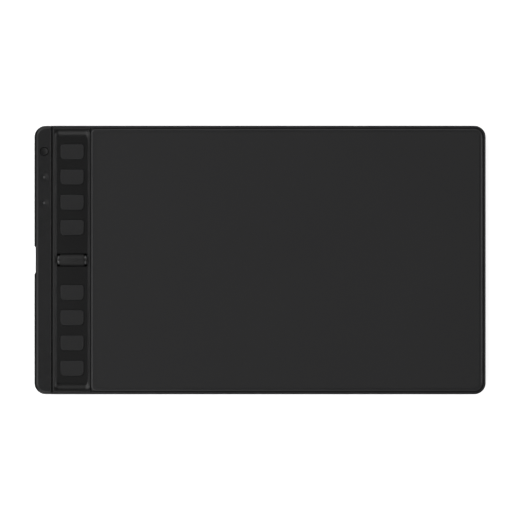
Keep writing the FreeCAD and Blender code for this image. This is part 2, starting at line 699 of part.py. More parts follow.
def top_cover():
    """Upper shell: rim, ledges for plate and key panel, beam between them and screw bosses."""
    body = new_body("top_cover")
    outline = ("cover_left", "near", "right", "far", ("corner_radius", "corner_radius", None, None))
    pad(body, "frame", "parting_height", "rim_top", rounded, *outline)
    fillet(body, "rim_edge", "rim_round", at_height("rim_top", right_of("cover_left")))
    bed_corner = "corner_radius - plate_inset + plate_gap"
    bed_far = "plate_far + plate_gap"
    bed = ("beam_step", f"-({bed_far})", "plate_right + plate_gap", bed_far)
    bed_corners = (bed_corner, bed_corner, None, None)
    cut(body, "plate_bed", "plate_under", "rim_top", rounded, *bed, bed_corners)
    panel_seat = ("cover_left - rail_gap", f"-({bed_far})", "beam_step", bed_far)
    cut(body, "panel_seat", "panel_under", "rim_top", rectangle, *panel_seat)
    groove_end = "(far + plate_inset)"
    groove = ("cover_left - rail_gap", f"-{groove_end}", "panel_left - panel_gap", groove_end)
    cut(body, "groove", "groove_floor", "rim_top", rectangle, *groove)
    key_space = ("spine_right", "-inner_far", "beam_right", "inner_far")
    cut(body, "key_space", "parting_height", "panel_ledge_under", rectangle, *key_space)
    corner = "corner_radius - wall_thickness"
    plate_space = ("beam_right", "-inner_far", "inner_right", "inner_far")
    space_corners = (corner, corner, None, None)
    cut(body, "plate_space", "parting_height", "plate_ledge_under", rounded, *plate_space, space_corners)
    key_window = ("spine_right", "-ledge_far", "beam_left", "ledge_far")
    cut(body, "key_window", "panel_ledge_under", "panel_under", rectangle, *key_window)
    plate_window = ("beam_right", "-ledge_far", "ledge_right", "ledge_far")
    cut(body, "plate_window", "plate_ledge_under", "plate_under", rectangle, *plate_window)
    bearing_half = "bearing_width / 2 + board_edge_gap"
    space_left, space_right = "beam_left - board_edge_gap", "bearing_right + panel_gap"
    bearing_space = (space_left, f"-({bearing_half})", space_right, bearing_half)
    cut(body, "bearing_space", "panel_ledge_under", "panel_under", rectangle, *bearing_space)
    bosses = (HOUSING_SCREWS, "upper_boss_radius")
    pad(body, "bosses", "parting_height", "plate_ledge_under", circles, *bosses)
    pilot = "screw_shank_radius + screw_pilot_gap"
    cut(body, "pilots", "parting_height", "screw_tip + screw_tip_gap", circles, HOUSING_SCREWS, pilot)
    hole = "small_shank_radius + small_hole_gap"
    cut(body, "panel_holes", "panel_ledge_under", "panel_under", circles, PANEL_SCREWS, hole)
    return body


def side_rail():
    """Rail along the left edge: hollow underneath, with the port's notch and three round holes."""
    body = new_body("side_rail")
    outline = ("left", "near", "rail_right", "far", (None, None, "corner_radius", "corner_radius"))
    pad(body, "shell", "parting_height", "plate_height", rounded, *outline)
    fillet(body, "outer_edge", "rail_round", at_height("plate_height", left_of("rail_right")))
    inner_edge = at_height("plate_height", right_of("rail_right - rail_gap"))
    fillet(body, "inner_edge", "rail_inner_round", inner_edge)
    corner = "corner_radius - rail_wall"
    hollow = ("left + rail_wall", "-inner_far", "rail_right - rail_inner_wall", "inner_far")
    cut(body, "hollow", "parting_height", "rail_under", rounded, *hollow, (None, None, corner, corner))
    pad(body, "bosses", "parting_height", "rail_under", circles, RAIL_SCREWS, "upper_boss_radius")
    pilot = "screw_shank_radius + screw_pilot_gap"
    cut(body, "pilots", "parting_height", "screw_tip + screw_tip_gap", circles, RAIL_SCREWS, pilot)
    cut(body, "notch", "parting_height", "plate_height", polygon, NOTCH)
    opening = ("left", "left + rail_wall + board_edge_gap", stadium, *PORT_OPENING)
    cut(body, "port_opening", *opening, role="YZ_Plane")
    button = ([("mark_x", "mark_first")], "group_key_radius + group_key_gap")
    cut(body, "button_hole", "rail_under", "plate_height", circles, *button)
    lenses = [("mark_x", y) for y in LENS_PLACES]
    cut(body, "lens_holes", "rail_under", "plate_height", circles, lenses, "lens_radius + lens_gap")
    for index, (x, y) in enumerate(lenses, 1):
        dish = ("plate_height - dish_depth", "plate_height", "lens_radius + lens_gap", "dish_radius")
        cone_cut(body, f"dish_{index}", x, y, *dish)
    return body


def key_shape(sketch, x, y, grow):
    """Draws the outline of a key cap, grown by a gap on every side."""
    half_length, half_width = f"(key_length / 2 + {grow})", f"(key_width / 2 + {grow})"
    near_corner, far_corner = f"key_near_corner + {grow}", f"key_far_corner + {grow}"
    low_x, high_x = f"{x} - {half_length}", f"{x} + {half_length}"
    low_y, high_y = f"{y} - {half_width}", f"{y} + {half_width}"
    corners = (near_corner, far_corner, far_corner, near_corner)
    rounded(sketch, low_x, low_y, high_x, high_y, corners)


def basin(body):
    """Hollows the basin: its walls swing from level at the floor to level at the rim."""
    before = volume_of(body)
    levels = []
    for step in range(BASIN_STEPS + 1):
        share = step / BASIN_STEPS
        climb = share * share * (3 - 2 * share)
        back = f"{1 - share:.4f}"
        height = f"well_floor + {climb:.4f} * (panel_top - well_floor)"
        sketch = sketch_on(body, f"basin_level_{step}", "XY_Plane", height)
        end = f"(plate_far - basin_end_land - {back} * basin_end_run)"
        low_x = f"panel_left + basin_left_land + {back} * basin_left_run"
        high_x = f"panel_right - basin_right_land - {back} * basin_right_run"
        corner = f"basin_corner + {share:.4f} * basin_right_run"
        rounded(sketch, low_x, f"-{end}", high_x, end, (corner,) * 4)
        levels.append(sketch)
    hollow = body.newObject("PartDesign::SubtractiveLoft", "basin")
    hollow.Profile = levels[0]
    hollow.Sections = levels[1:]
    hollow.Ruled = True
    settle(body, hollow, before, -1)


def key_panel():
    """Basin between rail and plate, with sloped ends, eight key holes and the wheel's slot."""
    body = new_body("key_panel")
    flange = ("cover_left", "-plate_far", "panel_right", "plate_far")
    pad(body, "flange", "panel_under", "groove_floor", rectangle, *flange)
    corners = (None, None, "panel_corner", "panel_corner")
    outline = ("panel_left", "-plate_far", "panel_right", "plate_far", corners)
    pad(body, "block", "panel_under", "panel_top", rounded, *outline)
    basin(body)
    fillet(body, "rim_round", "panel_round", at_height("panel_top", upto("panel_left")))
    starts = {"near_holes": KEY_PLACES[-1], "far_holes": KEY_PLACES[ROW_COUNT - 1]}
    for name, first in starts.items():
        hole = cut(body, name, "panel_under", "well_floor", key_shape, "key_x", first, "key_gap")
        row(body, hole, "V_Axis", "key_pitch", ROW_COUNT)
    slot = ("slot_left", "-slot_half", "slot_right", "slot_half")
    cut(body, "wheel_slot", "panel_under", "well_floor", rectangle, *slot)
    pilot = "small_shank_radius + small_pilot_gap"
    cut(body, "pilots", "panel_under", "well_floor", circles, PANEL_SCREWS, pilot)
    return body


def drawing_plate():
    """Raised plate that covers the antenna board, with a recess for the writing film."""
    body = new_body("drawing_plate")
    right_corner = "corner_radius - plate_inset"
    corners = (right_corner, right_corner, "plate_corner", "plate_corner")
    outline = ("plate_left", "-plate_far", "plate_right", "plate_far", corners)
    pad(body, "plate", "plate_under", "plate_height", rounded, *outline)
    fillet(body, "upper_edge", "plate_round", at_height("plate_height"))
    film_shape(body, "Pocket", "film_recess", "film_inset")
    return body


def film_shape(body, kind, name, inset):
    """Cuts the film's recess or makes the film, in from the plate's edge."""
    far = f"plate_far - {inset}"
    corner = f"film_corner - {inset} + film_inset"
    box = (f"plate_left + {inset}", f"-({far})", f"plate_right - {inset}", far, (corner,) * 4)
    make = pad if kind == "Pad" else cut
    make(body, name, "plate_height - film_depth", "plate_height", rounded, *box)


def drawing_film():
    """Textured writing film, flush in the plate."""
    body = new_body("drawing_film")
    film_shape(body, "Pad", "film", "(film_inset + film_gap)")
    return body


# Boards and electronics


def sensor_board():
    """Antenna board, glued under the drawing plate inside the ledge."""
    body = new_body("sensor_board")
    far = "ledge_far - sensor_gap"
    box = ("sensor_left", f"-({far})", "ledge_right - sensor_gap", far)
    pad(body, "board", "sensor_under", "plate_under", rectangle, *box)
    return body


def shield_plate():
    """Thin metal screen under the antenna board."""
    body = new_body("shield_plate")
    far = "ledge_far - sensor_gap"
    box = ("sensor_left + shield_setback", f"-({far})", "ledge_right - sensor_gap", far)
    pad(body, "screen", "shield_under", "sensor_under", rectangle, *box)
    return body


def key_board():
    """Board under the keys, cut out for the wheel, with tabs to the port and into the rail."""
    body = new_body("key_board")
    cutout = "slot_half + wheel_relief_gap"
    stem = "encoder_right - wheel_relief_gap"
    corners = [
        ("board_left", "-board_end"),
        ("board_right", "-board_end"),
        ("board_right", f"-({cutout})"),
        (stem, f"-({cutout})"),
        (stem, cutout),
        ("board_right", cutout),
        ("board_right", "board_end"),
        ("board_left", "board_end"),
        ("board_left", "rail_tab_high"),
        ("rail_tab_left", "rail_tab_high"),
        ("rail_tab_left", "rail_tab_low"),
        ("board_left", "rail_tab_low"),
        ("board_left", "port_tab"),
        ("rail_tab_left", "port_tab"),
        ("rail_tab_left", "-port_tab"),
        ("board_left", "-port_tab"),
    ]
    pad(body, "board", "board_under", "board_top", polygon, corners)
    hole = "small_shank_radius + small_hole_gap"
    cut(body, "screw_holes", "board_under", "board_top", circles, BOARD_SCREWS, hole)
    return body


def switch_bodies():
    """Nine tactile switches on the key board, open for their plungers."""
    body = new_body("switch_bodies")
    pad(body, "cases", "board_top", "switch_top", rectangles, SWITCHES, "switch_size", "switch_size")
    bore = "plunger_radius + plunger_gap"
    cut(body, "bores", "board_top", "switch_top", circles, SWITCHES, bore)
    return body


def controller_chips():
    """Controller beside the wheel and two driver packages on the key board."""
    body = new_body("controller_chips")
    between = "key_first + 5 / 2 * key_pitch"
    middle = "key_x - chip_setback"
    high = "board_top + chip_height"
    controller = [(middle, "beside_slot + controller_setback")]
    square = ("controller_size", "controller_size")
    pad(body, "controller", "board_top", high, rectangles, controller, *square)
    drivers = [(middle, f"-({between})"), (middle, "-beside_slot")]
    pad(body, "drivers", "board_top", high, rectangles, drivers, "driver_size", "driver_size")
    return body


def board_components():
    """Rows of small soldered parts on the key board."""
    body = new_body("board_components")
    places = []
    for start in ("key_first + 3 / 2 * key_pitch", "-key_first - 3 / 2 * key_pitch"):
        for step in (-2, -1, 0, 1, 2):
            places.append((f"key_x + {step} * passive_pitch", start))
    high = "board_top + passive_height"
    pad(body, "parts", "board_top", high, rectangles, places, "passive_length", "passive_width")
    return body


def indicator_leds():
    """Two light sources on the board's tab in the rail."""
    body = new_body("indicator_leds")
    places = [("mark_x", y) for y in LENS_PLACES]
    high = "board_top + led_height"
    pad(body, "sources", "board_top", high, rectangles, places, "led_width", "led_length")
    return body


def indicator_lens(index, y):
    """Light guide from a light source up to its dish in the rail."""
    body = new_body(f"indicator_lens_{index}")
    low = "board_top + led_height + led_gap"
    flange_low = "rail_under - lens_flange_thickness"
    tip = "plate_height - dish_depth"
    corners = [
        ("0", low),
        ("lens_radius", low),
        ("lens_radius", flange_low),
        ("lens_flange_radius", flange_low),
        ("lens_flange_radius", "rail_under"),
        ("lens_radius", "rail_under"),
        ("lens_radius", tip),
        ("0", tip),
    ]
    turned(body, "guide", corners, "V_Axis")
    bind(body, "Placement.Base.x", "mark_x")
    bind(body, "Placement.Base.y", y)
    return body


def flex_connectors():
    """Ribbon sockets, one on the key board and one under the antenna board."""
    body = new_body("flex_connectors")
    low_y, high_y = "ribbon_middle - connector_length / 2", "ribbon_middle + connector_length / 2"
    lower = ("connector_right - connector_width", low_y, "connector_right", high_y)
    pad(body, "board_socket", "board_top", "board_top + connector_height", rectangle, *lower)
    upper = ("upper_socket_left", low_y, "upper_socket_left + connector_width", high_y)
    pad(body, "sensor_socket", "sensor_under - connector_height", "sensor_under", rectangle, *upper)
    return body


def flex_cable():
    """Ribbon from socket to socket, under the beam and up to the antenna board."""
    body = new_body("flex_cable")
    half = "ribbon_thickness / 2"
    low_turn, high_turn = "beam_right + ribbon_low_run", "upper_socket_left - ribbon_high_run"
    path = [
        ("connector_right", "ribbon_z"),
        (low_turn, "ribbon_z"),
        (high_turn, "ribbon_high"),
        ("upper_socket_left", "ribbon_high"),
    ]
    under = [(x, f"{z} - {half}") for x, z in path]
    over = [(x, f"{z} + {half}") for x, z in reversed(path)]
    low_y = "ribbon_middle - ribbon_width / 2"
    start = f"-({low_y}) - ribbon_width"
    prism(body, "Pad", "ribbon", "XZ_Plane", start, "ribbon_width", polygon, (under + over,))
    return body


def usb_shell():
    """Metal shell of the cable port, open towards the notch."""
    body = new_body("usb_shell")
    outer = ("0", "port_z", "port_width", "port_height")
    pad(body, "shell", "port_left", "port_right", stadium, *outer, role="YZ_Plane")
    inner = ("0", "port_z", "port_width - 2 * port_wall", "port_height - 2 * port_wall")
    cut(body, "bore", "port_left", "port_right", stadium, *inner, role="YZ_Plane")
    return body


def usb_tongue():
    """Insulator at the back of the port with the contact tongue in front of it."""
    body = new_body("usb_tongue")
    width = "port_width - 2 * port_wall - 2 * tongue_fit"
    height = "port_height - 2 * port_wall - 2 * tongue_fit"
    front = "port_left + port_wall + tongue_length"
    pad(body, "insulator", front, "port_right", stadium, "0", "port_z", width, height, role="YZ_Plane")
    low_z, high_z = "port_z - tongue_thickness / 2", "port_z + tongue_thickness / 2"
    tongue = ("-tongue_width / 2", low_z, "tongue_width / 2", high_z)
    pad(body, "tongue", "port_left + port_wall", front, rectangle, *tongue, role="YZ_Plane")
    return body


# Keys and wheel


def key_cap(index, y):
    """Key cap with its flange and post, drawn round its own middle."""
    body = new_body(f"key_{index}")
    pad(body, "cap", "key_flange_under", "key_top", key_shape, "0", "0", "0")
    dish_z = "key_top - key_dish_drop + sqrt(key_dish_radius^2 - key_width^2 / 4)"
    half = "key_length / 2 + key_gap"
    dish = ([("0", dish_z)], "key_dish_radius")
    cut(body, "dish", f"-({half})", half, circles, *dish, role="YZ_Plane")
    halfway = number("(key_top + key_flange_top) / 2")
    fillet(body, "upper_edge", "key_round", lambda edge: edge.BoundBox.ZMin > halfway)
    flange_x, flange_y = "(key_length / 2 + key_flange)", "(key_width / 2 + key_flange)"
    flange = (f"-{flange_x}", f"-{flange_y}", flange_x, flange_y)
    pad(body, "flange", "key_flange_under", "key_flange_top", rectangle, *flange)
    pad(body, "post", "plunger_top", "key_flange_under", circles, [("0", "0")], "key_post_radius")
    bind(body, "Placement.Base.x", "key_x")
    bind(body, "Placement.Base.y", y)
    return body


def plunger(label, x, y):
    """Plunger of a tactile switch, under the post of its key."""
    body = new_body(label)
    pad(body, "pin", "plunger_under", "plunger_top", circles, [("0", "0")], "plunger_radius")
    bind(body, "Placement.Base.x", x)
    bind(body, "Placement.Base.y", y)
    return body


def group_key():
    """Round button in the rail with a dished top, a flange under the skin and a stem."""
    body = new_body("group_key")
    dish_radius = "group_key_radius - group_key_lip"
    corners = [
        ("0", "plunger_top"),
        ("key_post_radius", "plunger_top"),
        ("key_post_radius", "group_flange_under"),
        ("group_key_radius", "group_flange_under"),
        ("group_key_radius", "group_top - group_key_lip / 2"),
        ("group_key_radius - group_key_lip / 2", "group_top"),
        (dish_radius, "group_top"),
        (f"({dish_radius}) / 2", "group_top - 3 / 4 * group_key_dish"),
        ("0", "group_top - group_key_dish"),
    ]
    turned(body, "button", corners, "V_Axis")
    half_width, half_length = "group_flange_width / 2", "group_flange_length / 2"
    flange = (f"-{half_width}", f"-{half_length}", half_width, half_length)
    pad(body, "flange", "group_flange_under", "group_flange_top", rectangle, *flange)
    bind(body, "Placement.Base.x", "mark_x")
    bind(body, "Placement.Base.y", "mark_first")
    return body


def wheel_body(label, corners):
    """Starts a turned piece on the wheel's axis."""
    body = new_body(label)
    turned(body, "turning", corners)
    bind(body, "Placement.Base.x", "key_x")
    bind(body, "Placement.Base.z", "wheel_z")
    return body


def wheel_core():
    """Hub of the wheel with chamfered end rims and a bore for the axle."""
    half, rim = "wheel_width / 2", "wheel_rim_width"
    bore = "axle_radius + sleeve_fit"
    chamfer = "wheel_rim_chamfer"
    corners = [
        (f"-{half}", bore),
        (half, bore),
        (half, f"rim_radius - {chamfer}"),
        (f"{half} - {chamfer}", "rim_radius"),
        (f"{half} - {rim}", "rim_radius"),
        (f"{half} - {rim}", "hub_radius"),
        (f"-{half} + {rim}", "hub_radius"),
        (f"-{half} + {rim}", "rim_radius"),
        (f"-{half} + {chamfer}", "rim_radius"),
        (f"-{half}", f"rim_radius - {chamfer}"),
    ]
    return wheel_body("wheel_core", corners)


def wheel_tyre():
    """Grip sleeve round the hub, between the end rims."""
    half = "(wheel_width / 2 - wheel_rim_width - sleeve_fit)"
    low = "hub_radius + sleeve_fit"
    corners = [(f"-{half}", low), (half, low), (half, "wheel_radius"), (f"-{half}", "wheel_radius")]
    return wheel_body("wheel_tyre", corners)


def wheel_axle():
    """Axle through the hub, stepped down where it enters the encoder."""
    left_end = "encoder_left + encoder_wall + running_gap - key_x"
    step = "encoder_right + running_gap - key_x"
    right_end = "bearing_right - key_x"
    corners = [
        (left_end, "0"),
        (right_end, "0"),
        (right_end, "axle_radius"),
        (step, "axle_radius"),
        (step, "axle_end_radius"),
        (left_end, "axle_end_radius"),
    ]
    return wheel_body("wheel_axle", corners)


def wheel_encoder():
    """Encoder on the key board, with a blind bore for the axle's end."""
    body = new_body("wheel_encoder")
    box = ("encoder_left", "-encoder_width / 2", "encoder_right", "encoder_width / 2")
    pad(body, "case", "board_top", "bearing_top", rectangle, *box)
    bore = ([("0", "wheel_z")], "axle_end_radius + running_gap")
    cut(body, "bore", "encoder_left + encoder_wall", "encoder_right", circles, *bore, role="YZ_Plane")
    return body


def wheel_bearing():
    """Saddle on the floor that carries the other end of the axle."""
    body = new_body("wheel_bearing")
    box = ("bearing_left", "-bearing_width / 2", "bearing_right", "bearing_width / 2")
    pad(body, "block", "floor_top", "bearing_top", rectangle, *box)
    bore = "axle_radius + running_gap"
    hole = ([("0", "wheel_z")], bore)
    cut(body, "bore", "bearing_left", "bearing_right", circles, *hole, role="YZ_Plane")
    mouth = ("bearing_left", f"-({bore})", "bearing_right", bore)
    cut(body, "mouth", "wheel_z", "bearing_top", rectangle, *mouth)
    return body


# Fasteners and feet


def crossed(body, low, high, places, head_radius):
    """Cuts a cross recess into every screw head."""
    reach = f"2 * {head_radius} * recess_share"
    cut(body, "long_bars", low, high, rectangles, places, reach, "recess_width")
    cut(body, "short_bars", low, high, rectangles, places, "recess_width", reach)


def housing_screws():
    """Screws from below through the lower shell into the upper shell and the rail."""
    body = new_body("housing_screws")
    places = HOUSING_SCREWS + RAIL_SCREWS
    head_low = "screw_head_top - screw_head_height"
    pad(body, "heads", head_low, "screw_head_top", circles, places, "screw_head_radius")
    pad(body, "shanks", "screw_head_top", "screw_tip", circles, places, "screw_shank_radius")
    crossed(body, head_low, f"{head_low} + recess_width", places, "screw_head_radius")
    return body


def board_screws():
    """Small screws that hold the key board on its standoffs."""
    body = new_body("board_screws")
    high = "board_top + small_head_height"
    pad(body, "heads", "board_top", high, circles, BOARD_SCREWS, "small_head_radius")
    low = "board_under - small_reach"
    pad(body, "shanks", low, "board_top", circles, BOARD_SCREWS, "small_shank_radius")
    crossed(body, f"{high} - recess_width / 2", high, BOARD_SCREWS, "small_head_radius")
    return body


def panel_screws():
    """Small screws from below through the ledge into the key panel."""
    body = new_body("panel_screws")
    low = "panel_ledge_under - small_head_height"
    pad(body, "heads", low, "panel_ledge_under", circles, PANEL_SCREWS, "small_head_radius")
    high = "panel_under + panel_screw_reach"
    pad(body, "shanks", "panel_ledge_under", high, circles, PANEL_SCREWS, "small_shank_radius")
    crossed(body, low, f"{low} + recess_width / 2", PANEL_SCREWS, "small_head_radius")
    return body


def rubber_foot(label, x, y):
    """Long rubber foot, seated in its recess in the floor."""
    body = new_body(label)
    pad(body, "foot", "0", "foot_proud + foot_sunk", stadium, "0", "0", "foot_length", "foot_width")
    fillet(body, "lower_edge", "foot_round", at_height("0"))
    bind(body, "Placement.Base.x", x)
    bind(body, "Placement.Base.y", y)
    return body


def build():
    """Builds every sub-part."""
    parts = [
        bottom_cover(),
        top_cover(),
        side_rail(),
        key_panel(),
        drawing_plate(),
        drawing_film(),
        sensor_board(),
        shield_plate(),
        key_board(),
        switch_bodies(),
        controller_chips(),
        board_components(),
        indicator_leds(),
        flex_connectors(),
        flex_cable(),
        usb_shell(),
        usb_tongue(),
        group_key(),
        plunger("group_key_plunger", "mark_x", "mark_first"),
        wheel_core(),
        wheel_tyre(),
        wheel_axle(),
        wheel_encoder(),
        wheel_bearing(),
        housing_screws(),
        board_screws(),
        panel_screws(),
    ]
    parts += [indicator_lens(index, y) for index, y in enumerate(LENS_PLACES, 1)]
    parts += [key_cap(index, y) for index, y in enumerate(KEY_PLACES, 1)]
    parts += [plunger(f"key_plunger_{index}", "key_x", y) for index, y in enumerate(KEY_PLACES, 1)]
    parts += [rubber_foot(label, x, y) for label, (x, y) in FEET.items()]
    return parts


def check(parts):
    """Stops if any object failed or any sub-part has no valid solid."""
    for item in doc.Objects:
        if "Invalid" in item.State or "Error" in item.State:
            raise RuntimeError(f"{item.Label} failed: {item.State}")
    for body in parts:
        shape = body.Shape
        if shape.isNull() or not shape.isValid() or not shape.Solids:
            raise RuntimeError(f"{body.Label} has no valid solid")


def write(parts):
    """Writes one STEP file for each sub-part."""
    os.makedirs("parts", exist_ok=True)
    for body in parts:
        body.Shape.exportStep(os.path.join("parts", f"{body.Label}.step"))
        box = body.Shape.BoundBox
        spread = f"{box.XLength:.2f} x {box.YLength:.2f} x {box.ZLength:.2f}"
        print(f"{body.Label}: {len(body.Shape.Solids)} solids, {body.Shape.Volume:.1f} mm3, {spread}")


fill_sheet()
PARTS = build()
doc.recompute()
check(PARTS)
write(PARTS)
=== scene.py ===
"""Looks of the graphics tablet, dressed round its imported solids.

Lengths are in metres. The tablet lies on its feet at Z 0 with the key strip at the left,
X runs along its long side and Y towards the far edge.
"""

from __future__ import annotations

import logging
import math
from dataclasses import dataclass, field
from enum import Enum

import bmesh
import bpy
from mathutils import Matrix, Vector


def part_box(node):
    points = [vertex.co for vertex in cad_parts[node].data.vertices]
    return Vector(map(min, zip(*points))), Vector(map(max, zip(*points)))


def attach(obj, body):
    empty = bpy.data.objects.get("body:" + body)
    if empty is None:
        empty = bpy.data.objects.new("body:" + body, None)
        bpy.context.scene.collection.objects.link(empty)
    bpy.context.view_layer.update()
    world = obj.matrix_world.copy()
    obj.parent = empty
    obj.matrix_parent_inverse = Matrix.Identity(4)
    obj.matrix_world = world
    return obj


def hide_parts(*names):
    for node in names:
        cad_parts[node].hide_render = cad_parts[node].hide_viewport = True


MM = 0.001
HOUSING = "housing"
MERGE_DISTANCE = 1e-7
SHARP_ANGLE = math.radians(35)
BEVEL_SEGMENTS = 2

# Limits along X for matte flanks with painted shade: the plate's left rounding, the rail's outer
# side, and none
PLATE_EDGE = -99.5 * MM
RAIL_EDGE = -131.5 * MM
BEYOND = 1.0

# How much finer detail a noise carries
SOFT = 2.0
FINE = 3.0
RICH = 4.0

# Sockets of a Mix node that take and give colours
MIX_LOW = 6
MIX_HIGH = 7
MIX_RESULT = 2

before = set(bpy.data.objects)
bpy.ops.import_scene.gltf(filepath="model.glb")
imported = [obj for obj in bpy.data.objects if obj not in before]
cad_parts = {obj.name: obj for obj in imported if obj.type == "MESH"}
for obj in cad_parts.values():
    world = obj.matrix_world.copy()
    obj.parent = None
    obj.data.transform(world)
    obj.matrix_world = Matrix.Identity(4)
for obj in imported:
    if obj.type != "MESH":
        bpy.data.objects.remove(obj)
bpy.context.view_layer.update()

log = logging.getLogger("tablet")
logging.basicConfig(level=logging.INFO, format="%(message)s")

Pair = tuple[float, float]
Triple = tuple[float, float, float]
Colour = Triple
Outline = list[Pair]


# Shader language


class Wave:
    """A shader socket that takes part in sums and products."""

    def __init__(self, graph: Graph, socket: bpy.types.NodeSocket) -> None:
        """Keeps the socket and the graph that new nodes go into.

        Args:
            graph: the material being built.
            socket: the output that this value stands for.
        """
        self.graph = graph
        self.socket = socket

    def _math(self, operation: str, *values: Wave | float) -> Wave:
        """Adds a Math node.

        Args:
            operation: the node's operation.
            values: its inputs in order.

        Returns:
            The node's result.
        """
        node = self.graph.node("ShaderNodeMath", {"operation": operation}, dict(enumerate(values)))
        return Wave(self.graph, node.outputs[0])

    def __add__(self, other: Wave | float) -> Wave:
        """Adds."""
        return self._math("ADD", self, other)

    def __radd__(self, other: float) -> Wave:
        """Adds from the right."""
        return self._math("ADD", other, self)

    def __sub__(self, other: Wave | float) -> Wave:
        """Subtracts."""
        return self._math("SUBTRACT", self, other)

    def __rsub__(self, other: float) -> Wave:
        """Subtracts from a number."""
        return self._math("SUBTRACT", other, self)

    def __mul__(self, other: Wave | float) -> Wave:
        """Multiplies."""
        return self._math("MULTIPLY", self, other)

    def __rmul__(self, other: float) -> Wave:
        """Multiplies from the right."""
        return self._math("MULTIPLY", other, self)

    def __abs__(self) -> Wave:
        """Drops the sign."""
        return self._math("ABSOLUTE", self)

    def swing(self, size: float) -> Wave:
        """Turns a value from 0 to 1 into a swing of the given size round zero."""
        return (self - 0.5) * size

    def ramp(self, low: float, high: float) -> Wave:
        """Climbs smoothly from 0 at low to 1 at high.

        Args:
            low: value that gives 0.
            high: value that gives 1.

        Returns:
            The eased value.
        """
        settings = {"interpolation_type": "SMOOTHSTEP"}
        inputs = {"Value": self, "From Min": low, "From Max": high, "To Min": 0.0, "To Max": 1.0}
        node = self.graph.node("ShaderNodeMapRange", settings, inputs)
        return Wave(self.graph, node.outputs["Result"])


class Cell(Enum):
    """What a scatter of points measures."""

    POINT = "F1"
    BORDER = "DISTANCE_TO_EDGE"


class Source(Enum):
    """Vector that a component is taken from; a ray meets the world."""

    PLACE = "Object"
    NORMAL = "Normal"
    RAY = "Generated"


class Graph:
    """The node tree of a material or of the world."""

    def __init__(self, owner: bpy.types.Material | bpy.types.World) -> None:
        """Empties the owner's tree.

        Args:
            owner: what is being shaded.
        """
        owner.use_nodes = True
        self.tree = owner.node_tree
        self.tree.nodes.clear()
        self.vectors = self.node("ShaderNodeTexCoord").outputs

    def node(
        self,
        kind: str,
        settings: dict[str, object] | None = None,
        inputs: dict[str | int, object] | None = None,
    ) -> bpy.types.Node:
        """Adds a node of any type.

        Args:
            kind: the node's type.
            settings: attributes, set first.
            inputs: values or links of its sockets, by name or number.

        Returns:
            The new node.
        """
        node = self.tree.nodes.new(kind)
        for name, value in (settings or {}).items():
            setattr(node, name, value)
        for name, value in (inputs or {}).items():
            source = value.socket if isinstance(value, Wave) else value
            if isinstance(source, bpy.types.NodeSocket):
                self.tree.links.new(source, node.inputs[name])
            else:
                node.inputs[name].default_value = source
        return node

    def noise(self, size: float, detail: float, stretch: Triple = (1.0, 1.0, 1.0)) -> Wave:
        """Gives a smooth random value between 0 and 1.

        Args:
            size: size of its features in metres.
            detail: how much finer detail is laid over them.
            stretch: how much more often it changes along each axis.

        Returns:
            The value over the surface.
        """
        inputs = {"Vector": self.vectors[Source.PLACE.value], "Scale": stretch}
        scaled = self.node("ShaderNodeMapping", {}, inputs)
        inputs = {"Vector": scaled.outputs[0], "Scale": 1 / size, "Detail": detail}
        node = self.node("ShaderNodeTexNoise", {"noise_dimensions": "3D"}, inputs)
        return Wave(self, node.outputs[0])

    def cells(self, size: float, kind: Cell = Cell.POINT) -> Wave:
        """Gives the distance to scattered points, or to the borders between them.

        Args:
            size: distance between the points in metres.
            kind: what the distance is measured to.

        Returns:
            The value over the surface.
        """
        inputs = {"Vector": self.vectors[Source.PLACE.value], "Scale": 1 / size}
        node = self.node("ShaderNodeTexVoronoi", {"feature": kind.value}, inputs)
        return Wave(self, node.outputs["Distance"])

    def axis(self, name: str, source: Source) -> Wave:
        """Gives one component of a vector.

        Args:
            name: X, Y or Z.
            source: the vector.

        Returns:
            The component.
        """
        node = self.node("ShaderNodeSeparateXYZ", {}, {0: self.vectors[source.value]})
        return Wave(self, node.outputs[name])

    def rays(self) -> tuple[Wave, Wave]:
        """Tells which rays look at the surface.

        Returns:
            1 for the camera's rays, and 1 for rays that were mirrored or went through something.
        """
        path = self.node("ShaderNodeLightPath").outputs
        names = ("Is Camera Ray", "Is Glossy Ray", "Is Transmission Ray")
        camera, mirrored, through = (Wave(self, path[name]) for name in names)
        return camera, mirrored + through

    def blend(self, share: Wave | float, low: Colour | Wave, high: Colour | Wave) -> Wave:
        """Mixes two colours.

        Args:
            share: 0 gives low, 1 gives high.
            low: first colour.
            high: second colour.

        Returns:
            The mixed colour.
        """
        ends = [item if isinstance(item, Wave) else (*item, 1.0) for item in (low, high)]
        inputs = {0: share, MIX_LOW: ends[0], MIX_HIGH: ends[1]}
        node = self.node("ShaderNodeMix", {"data_type": "RGBA"}, inputs)
        return Wave(self, node.outputs[MIX_RESULT])

    def bump(self, height: Wave, depth: float) -> Wave:
        """Turns a height into a normal.

        Args:
            height: the relief, 0 to 1.
            depth: metres between 0 and 1.

        Returns:
            The normal.
        """
        inputs = {"Height": height, "Distance": depth, "Strength": 1.0}
        return Wave(self, self.node("ShaderNodeBump", {}, inputs).outputs[0])

    def shader(self, **inputs: object) -> Wave:
        """Adds a Principled shader.

        Args:
            inputs: its sockets by name, with underscores for spaces.

        Returns:
            The shader.
        """
        named = {name.replace("_", " "): value for name, value in inputs.items()}
        for name, value in named.items():
            if isinstance(value, tuple) and len(value) == 3:
                named[name] = (*value, 1.0)
        return Wave(self, self.node("ShaderNodeBsdfPrincipled", {}, named).outputs[0])

    def finish(self, shader: Wave) -> None:
        """Ends the material.

        Args:
            shader: what its surface shows.
        """
        self.node("ShaderNodeOutputMaterial", {}, {"Surface": shader})

    def surface(self, **inputs: object) -> None:
        """Ends the material in one Principled shader.

        Args:
            inputs: its sockets by name, with underscores for spaces.
        """
        self.finish(self.shader(**inputs))


# Finishes


def toned(colour: Colour, factor: float) -> Colour:
    """Makes a colour lighter or darker by a factor."""
    return tuple(min(1.0, part * factor) for part in colour)


